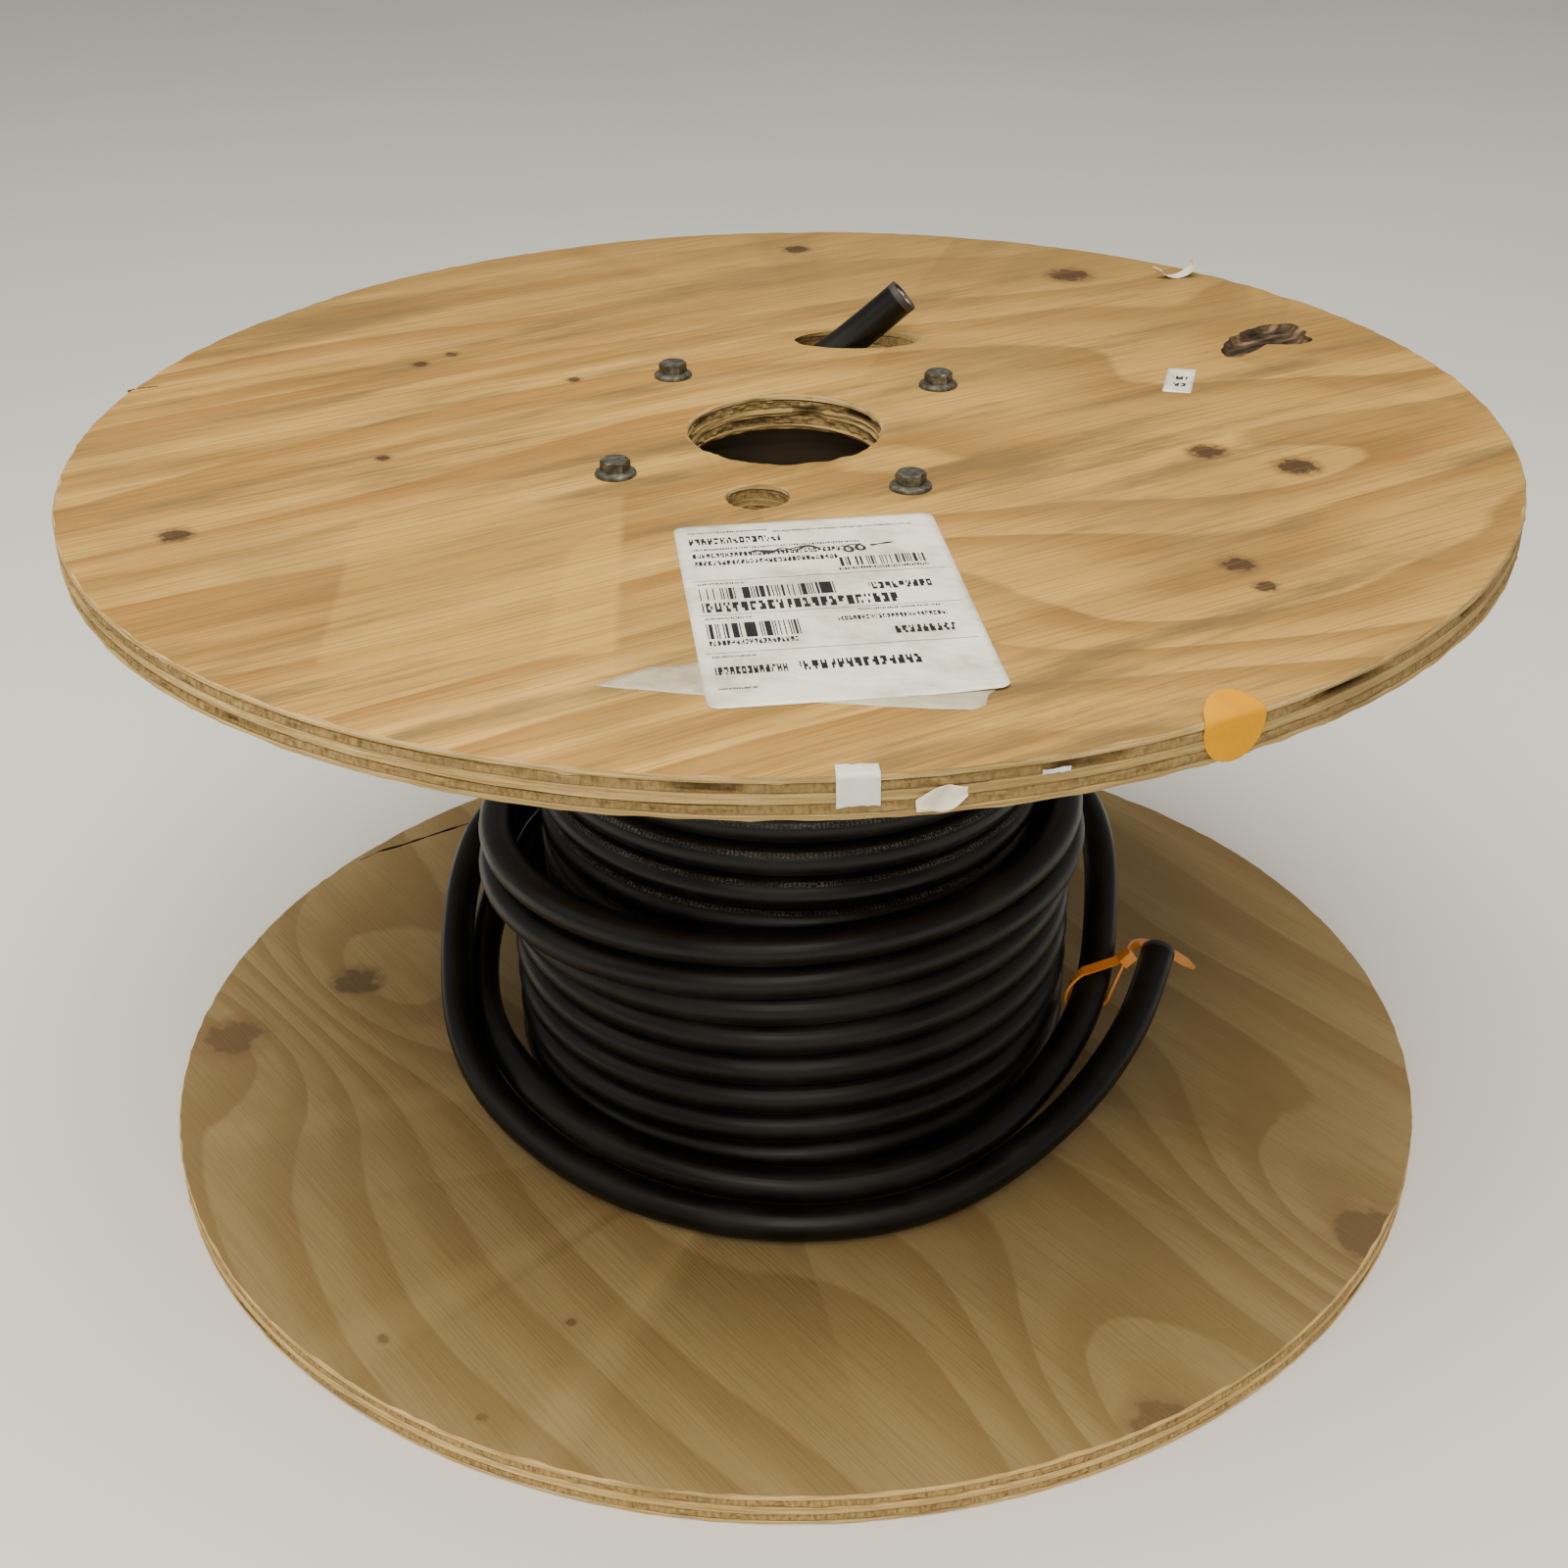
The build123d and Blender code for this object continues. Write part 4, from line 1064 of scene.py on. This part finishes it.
# ---- strap tie ----
def ribbon(path, across, out, width, thickness):
    """A strip of rectangular section carried along a path, closed at both ends: across and out
    give the section's two directions at each point, and width and thickness its size there."""
    width, thickness = (np.broadcast_to(size, len(path))[:, None] / 2 for size in (width, thickness))
    corners = [(-1, -1), (1, -1), (1, 1), (-1, 1)]
    ring = np.stack([path + a * width * across + b * thickness * out for a, b in corners], 1)
    faces = quads(len(path), 4, closed=True).tolist()
    return ring, faces + [[0, 1, 2, 3], [len(ring) * 4 - 1 - step for step in range(4)]]


# Size of the tie's loop, and where its head stands: out from the cable's middle, up, and along it.
TIE_LOOP_RADIUS = 10.0 * MM
TIE_HEAD_OUT = 13.5 * MM
TIE_HEAD_UP = 10.5 * MM
TIE_HEAD_ALONG = 23 * MM


def strap_tie():
    """A slack loop round the loose turn, a locking head, and a tail with fine teeth.

    The loop is a pointed oval round the cable: most of a circle, joined to the head by straight
    sides. It leans along the cable as it goes out to the head. The tail is a cubic Bezier curve
    that rises from the head, passes beyond the cable's free end and hangs down."""
    first, last, tip = loose_route[21], loose_route[22], loose_route[-1]
    along = (last - first) / np.linalg.norm(last - first)
    outward = np.cross(along, (0, 0, 1))
    outward /= np.linalg.norm(outward)
    upward = np.cross(outward, along)
    centre = (first + last) / 2
    reach = TIE_HEAD_OUT * outward + TIE_HEAD_UP * upward
    far = np.linalg.norm(reach)
    reach /= far
    rise = np.cross(along, reach)
    swing = np.linspace(-0.42 * pi, -1.58 * pi, 60)
    line = TIE_LOOP_RADIUS * np.column_stack([np.cos(swing), np.sin(swing)])
    straight = np.linspace(0, 1, 8)[1:, None]
    end = np.array([far, 0])
    first_side = end + (line[0] - end) * straight[::-1]
    line = np.vstack([first_side, line, line[-1] + (end - line[-1]) * straight])
    lean = (line[:, 0:1] + TIE_LOOP_RADIUS) * TIE_HEAD_ALONG / (far + TIE_LOOP_RADIUS)
    path = centre + line[:, 0:1] * reach + line[:, 1:2] * rise + lean * along
    patches = [(*flat_strap(path, along, 4.8 * MM, 1.2 * MM), 0)]
    head_at = centre + far * reach + TIE_HEAD_ALONG * along
    onward = reach + 0.8 * along
    onward /= np.linalg.norm(onward)
    steps = np.array([-3.6, -3.5, -2.8, 2.8, 3.5, 3.6]) * MM
    swell = np.array([0.86, 0.96, 1.0, 1.0, 0.96, 0.86])
    head = head_at + steps[:, None] * onward
    patches.append((*flat_strap(head, rise, 5.4 * MM * swell, 6.6 * MM * swell), 0))
    t = np.linspace(0, 1, 161)[:, None]
    corners = (head_at, head_at + np.array([7, 32, -6]) * MM,
               tip + np.array([6, 17, -9]) * MM, tip + np.array([20, 6, -15]) * MM)
    shares = ((1 - t) ** 3, 3 * t * (1 - t) ** 2, 3 * t * t * (1 - t), t ** 3)
    tail = sum(share * corner for share, corner in zip(shares, corners))
    t = t[:, 0]
    teeth = 0.30 * np.abs(((t * 60) % 1) - 0.5) * (t < 0.85) * (t > 0.1)
    taper = np.clip((1.05 - t) / 0.15, 0.3, 1)
    tilt = np.array([0, 0.3, 0.95])
    patches.append((*flat_strap(tail, tilt, 4.5 * MM * taper, (1.05 + teeth) * MM), 0))
    made = piece("strap_tie", patches, [nylon_material()], sharp=38)
    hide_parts("cable_tie")


def flat_strap(path, towards, width, thickness):
    """A ribbon along a path whose width points as nearly as it can towards one direction."""
    tangent = np.gradient(path, axis=0)
    tangent /= np.linalg.norm(tangent, axis=1)[:, None]
    across = towards - tangent * (tangent @ towards)[:, None]
    across /= np.linalg.norm(across, axis=1)[:, None]
    return ribbon(path, across, np.cross(tangent, across), width, thickness)


strap_tie()


# ---- papers on the top face ----
LONGEST_SIDE = 4 * MM
SHEET_THICKNESS = 0.14 * MM


def thicken(made, thickness):
    """Gives a surface a thickness, behind it."""
    solid = made.modifiers.new("thickness", "SOLIDIFY")
    solid.thickness = thickness
    solid.offset = -1


def rounded(width, height, corner, steps=8):
    """Outline of a rectangle with its lower left corner at the origin and rounded corners."""
    points = []
    for quarter, (x, y) in enumerate(((width - corner, height - corner), (corner, height - corner),
                                      (corner, corner), (width - corner, corner))):
        angle = np.linspace(0, pi / 2, steps) + quarter * pi / 2
        points.append(np.column_stack([x + corner * np.cos(angle), y + corner * np.sin(angle)]))
    return dense(np.vstack(points))


def dense(loop):
    """Adds points to an outline so that no side is longer than the longest that a sheet may have."""
    points = []
    for start, end in zip(loop, np.roll(loop, -1, axis=0)):
        count = max(1, ceil(np.linalg.norm(end - start) / LONGEST_SIDE))
        points += [start + (end - start) * step / count for step in range(count)]
    return np.array(points)


def laid_sheet(name, outline, at, turn, lift, material, node, spacing=3 * MM):
    """A thin sheet on the top face: triangles inside an outline, raised by lift, which is given
    positions in the sheet, then turned and moved into place. Its UV map holds those positions.
    With no turn, the outline is in place already."""
    points, faces = flat_face(outline, [], lift, spacing)
    flat = points[:, :2]
    middle = (flat.max(0) + flat.min(0)) / 2 if turn is not None else 0
    c, s = (cos(turn), sin(turn)) if turn is not None else (1, 0)
    local = flat - middle
    points[:, 0] = at[0] + local[:, 0] * c - local[:, 1] * s
    points[:, 1] = at[1] + local[:, 0] * s + local[:, 1] * c
    points[:, 2] += SPOOL_HEIGHT
    made = piece(name, [(points, faces, 0)], [material])
    mesh = made.data
    if mesh.polygons[0].normal.z < 0:
        mesh.flip_normals()
    corner_points = np.zeros(len(mesh.loops), int)
    mesh.loops.foreach_get("vertex_index", corner_points)
    spots = np.zeros(len(mesh.vertices) * 3)
    mesh.vertices.foreach_get("co", spots)
    x, y = (spots.reshape(-1, 3)[:, :2] - np.asarray(at)).T
    spots = np.column_stack([x * c + y * s, -x * s + y * c]) + middle
    layer = mesh.uv_layers.new(name="UVMap")
    layer.data.foreach_set("uv", spots[corner_points].astype(np.float32).ravel())
    thicken(made, SHEET_THICKNESS)
    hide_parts(node)


LABEL_SIZE = np.array([101.6, 152.4]) * MM
LABEL_AT = np.array([15.3, -178.0]) * MM
LABEL_TURN = radians(6.5)


def label_lift(x, y):
    """Height of the label over the face: low creases running two ways, and its lower right corner
    raised."""
    x, y = x / MM, y / MM
    creases = 0.10 * np.sin(x * 0.33 + 2.0 * np.sin(y * 0.05)) * np.exp(-((y - 95) / 34) ** 2)
    near_side = np.exp(-((x - 84) / 18) ** 2 - ((y - 30) / 26) ** 2)
    creases += 0.09 * np.sin(y * 0.27 + x * 0.21) * near_side
    corner = np.exp(-(((x - 98) / 12) ** 2) - ((y - 4) / 12) ** 2)
    return (0.32 + creases + 0.9 * corner) * MM


OLD_LABEL = np.array([
    (-65, -241), (-55, -233), (-47, -227.5), (-38, -226.5), (-28, -224), (0, -224), (30, -236),
    (67, -229), (71, -244), (66, -252), (64.5, -259), (60, -262), (40, -260), (21, -257), (-2, -253),
    (-28, -249),
]) * MM
laid_sheet("printed_label", rounded(*LABEL_SIZE, 4.5 * MM), LABEL_AT, LABEL_TURN, label_lift,
           label_material("printed_label", LABEL_MARKS), "shipping_label")
laid_sheet("older_label", dense(OLD_LABEL), (0, 0), None,
           lambda x, y: 0.16 * MM + 0.05 * MM * np.sin(x * 420 + y * 300),
           paper_material("old_label_paper", (0.52, 0.48, 0.38), (0.40, 0.33, 0.22), 0.5, 0.0006),
           "old_label")
laid_sheet("price_label", rounded(12.5 * MM, 30 * MM, 0.8 * MM), (178.0 * MM, 51.0 * MM), radians(-14),
           lambda x, y: (0.2 + 0.6 * np.clip((y / MM - 24) / 6, 0, 1) ** 2) * MM,
           label_material("price_print", PRICE_MARKS), "price_label")


def pen_strokes():
    """Hasty pen strokes on the label, as flat ribbons along waves across sloping lines."""
    patches = []
    c, s = cos(LABEL_TURN), sin(LABEL_TURN)
    t = np.linspace(0, 1, 70)
    strokes = (
        (27 + 27 * t, 124 + 1.6 * np.sin(t * 17) + 2.2 * t),
        (52 - 25 * t, 126.5 + 1.0 * np.sin(t * 9) - 2.4 * t),
        (62 + 9 * t + 2.6 * np.sin(t * 12), 122 + 3.0 * np.cos(t * 12) + 2 * t),
        (73 + 9 * t, 124.5 + 1.6 * t),
    )
    for x, y in strokes:
        height = SPOOL_HEIGHT + label_lift(x * MM, y * MM) + 0.05 * MM
        x, y = x * MM - LABEL_SIZE[0] / 2, y * MM - LABEL_SIZE[1] / 2
        path = np.column_stack([LABEL_AT[0] + x * c - y * s, LABEL_AT[1] + x * s + y * c, height])
        along = np.gradient(path, axis=0)
        along /= np.linalg.norm(along, axis=1)[:, None]
        across = np.cross((0, 0, 1), along)
        wide = (0.8 + 0.7 * np.sin(t * 5 + x[0] * 900) ** 2) * MM
        patches.append((*ribbon(path, across, np.cross(along, across), wide, 0.06 * MM), 0))
    ink = paper_material("pen_ink", (0.016, 0.016, 0.018), (0.03, 0.03, 0.03), 0.5)
    piece("pen_strokes", patches, [ink])


pen_strokes()


# ---- papers folded over the rim ----
def over_rim(across, down, angle, off, fold=1.4 * MM):
    """Places a point of a paper that folds over the top flange's edge.

    Across runs anticlockwise round the rim. Down is negative on the top face, and then runs over a
    quarter-round fold and down the rim. Off is the height off the wood."""
    bend = np.clip(down / fold + 0.5, 0, 1) * pi / 2
    on_face = np.minimum(down + fold / 2, 0)
    on_rim = np.maximum(down - fold / 2, 0)
    turn = fold / (pi / 2)
    reach = FLANGE_RADIUS - turn + (turn + off) * np.sin(bend) + on_face
    height = SPOOL_HEIGHT - turn + (turn + off) * np.cos(bend) - on_rim
    swing = angle + across / FLANGE_RADIUS
    return np.stack([reach * np.cos(swing), reach * np.sin(swing), height], -1)


def rim_paper(name, shape, angle, off, material, node, thickness=0.12 * MM):
    """A paper on the rim from a grid of (across, down) positions; off gives its height there."""
    across, down = shape
    points = over_rim(across, down, radians(angle), off(across, down))
    made = piece(name, [(points, quads(*across.shape), 0)], [material], sharp=50)
    out = made.data.polygons[len(made.data.polygons) // 2]
    if out.normal.dot(out.center - Vector((0, 0, SPOOL_HEIGHT - 0.05))) < 0:
        made.data.flip_normals()
    thicken(made, thickness)
    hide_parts(node)


def oblong(width, top, bottom, rows=30, columns=24, ragged=0.0, seed=1):
    """Grid of a strip from top to bottom, given as distances down, with ragged ends."""
    a, b = np.meshgrid(np.linspace(-0.5, 0.5, columns), np.linspace(0, 1, rows))
    tear = ragged * rough_field(seed, 2, columns, 0, 1.5)
    start, end = top + tear[0], bottom + tear[1]
    return a * width * MM, (start + (end - start) * b) * MM


# How far the round sticker's centre lies below the top edge, in millimetres.
DISC_DROP = 3.6


def disc(radius, rows=25, columns=48):
    """Grid of a round sticker: rings from its centre, a little below the edge, outward."""
    angle, share = np.meshgrid(np.linspace(0, 2 * pi, columns), np.linspace(0.001, 1, rows))
    return radius * share * np.cos(angle) * MM, (radius * share * np.sin(angle) + DISC_DROP) * MM


white_tape = paper_material("white_tape", (0.78, 0.765, 0.70), (0.60, 0.585, 0.52), 0.5, 0.0006)
yellow = paper_material("yellow_paper", (0.72, 0.325, 0.0), (0.66, 0.28, 0.0), 0.6, 0.0003, 0.08)
rim_paper("round_sticker", disc(12.7), -61.7, lambda a, d: 0.35 * MM + 0.55 * np.maximum(-d, 0),
          yellow, "dot_sticker")
rim_paper("white_edge_tape", oblong(14, -6, 10.5, ragged=0.25, seed=3), -86,
          lambda a, d: 0.75 * MM + 0.3 * MM * np.sin(a * 700) * np.clip(d / (6 * MM), 0, 1),
          white_tape, "edge_tape")
bright_strip = paper_material("bright_strip", (0.82, 0.82, 0.80), (0.55, 0.56, 0.58), 0.3)
rim_paper("bright_strip", oblong(9.5, 4.3, 5.9, rows=6, ragged=0.1, seed=5), -74,
          lambda a, d: 0.6 * MM + 0 * a, bright_strip, "staple", 0.5 * MM)


def folded_tape():
    """A twisted scrap of masking tape on the rim: a strip that turns over itself and stands off."""
    a, b = np.meshgrid(np.linspace(-1, 1, 34), np.linspace(-1, 1, 12))
    across = 8.2 * a * MM
    down = (9 + 3.3 * b * (1 - 0.35 * a * a) - 2.2 * a + 1.0 * np.sin(2.6 * a + b)) * MM
    off = (0.7 + 1.3 * np.abs(np.sin(2.2 * a + 0.8 * b)) + 1.6 * np.clip(b, 0, 1) ** 2) * MM
    return (across, down), off


tape_shape, tape_off = folded_tape()
rim_paper("masking_tape", tape_shape, -81.1, lambda a, d: tape_off,
          paper_material("masking_paper", (0.80, 0.74, 0.58), (0.62, 0.55, 0.40), 0.6, 0.0005),
          "masking_tape")


def curled_scrap():
    """A curl of backing paper that lies on the face: a strip bent round a level axis, narrower and
    lower towards one end."""
    a, b = np.meshgrid(np.linspace(0, 1, 30), np.linspace(0, 1, 14))
    angle = radians(200) + radians(150) * a
    radius = (9.0 - 2.2 * b) * MM
    turn = radians(22)
    x = radius * np.cos(angle) * 1.35
    y = -(9.0 * b * (0.45 + 0.55 * a)) * MM
    z = np.maximum(radius * np.sin(angle) + 9.25 * MM - 2.2 * MM * b, 0.2 * MM)
    points = np.stack([
        0.200 + x * cos(turn) - y * sin(turn), 0.212 + x * sin(turn) + y * cos(turn), SPOOL_HEIGHT + z,
    ], -1)
    backing = paper_material("backing_paper", (0.82, 0.79, 0.70), (0.55, 0.47, 0.34), 0.45)
    made = piece("curled_scrap", [(points, quads(*a.shape), 0)], [backing], sharp=60)
    thicken(made, 0.2 * MM)
    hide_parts("paper_scrap")


curled_scrap()


# ---- floor ----
FLOOR_REACH = 25


def floor_material():
    """Plain pale floor with a faint unevenness."""
    shader = Shader("studio_floor")
    tone = shader.between(shader.noise(shader.place, 1.3, 2), 0.3, 0.7)
    return shader.done(shader.mix(tone, (0.80, 0.80, 0.79), (0.84, 0.84, 0.83)), 0.7)


floor = bpy.data.objects.new("floor", bpy.data.meshes.new("floor"))
floor_corners = [(x * FLOOR_REACH, y * FLOOR_REACH, 0) for x, y in ((-1, -1), (1, -1), (1, 1), (-1, 1))]
floor.data.from_pydata(floor_corners, [], [(0, 1, 2, 3)])
floor.data.materials.append(floor_material())
bpy.context.scene.collection.objects.link(floor)
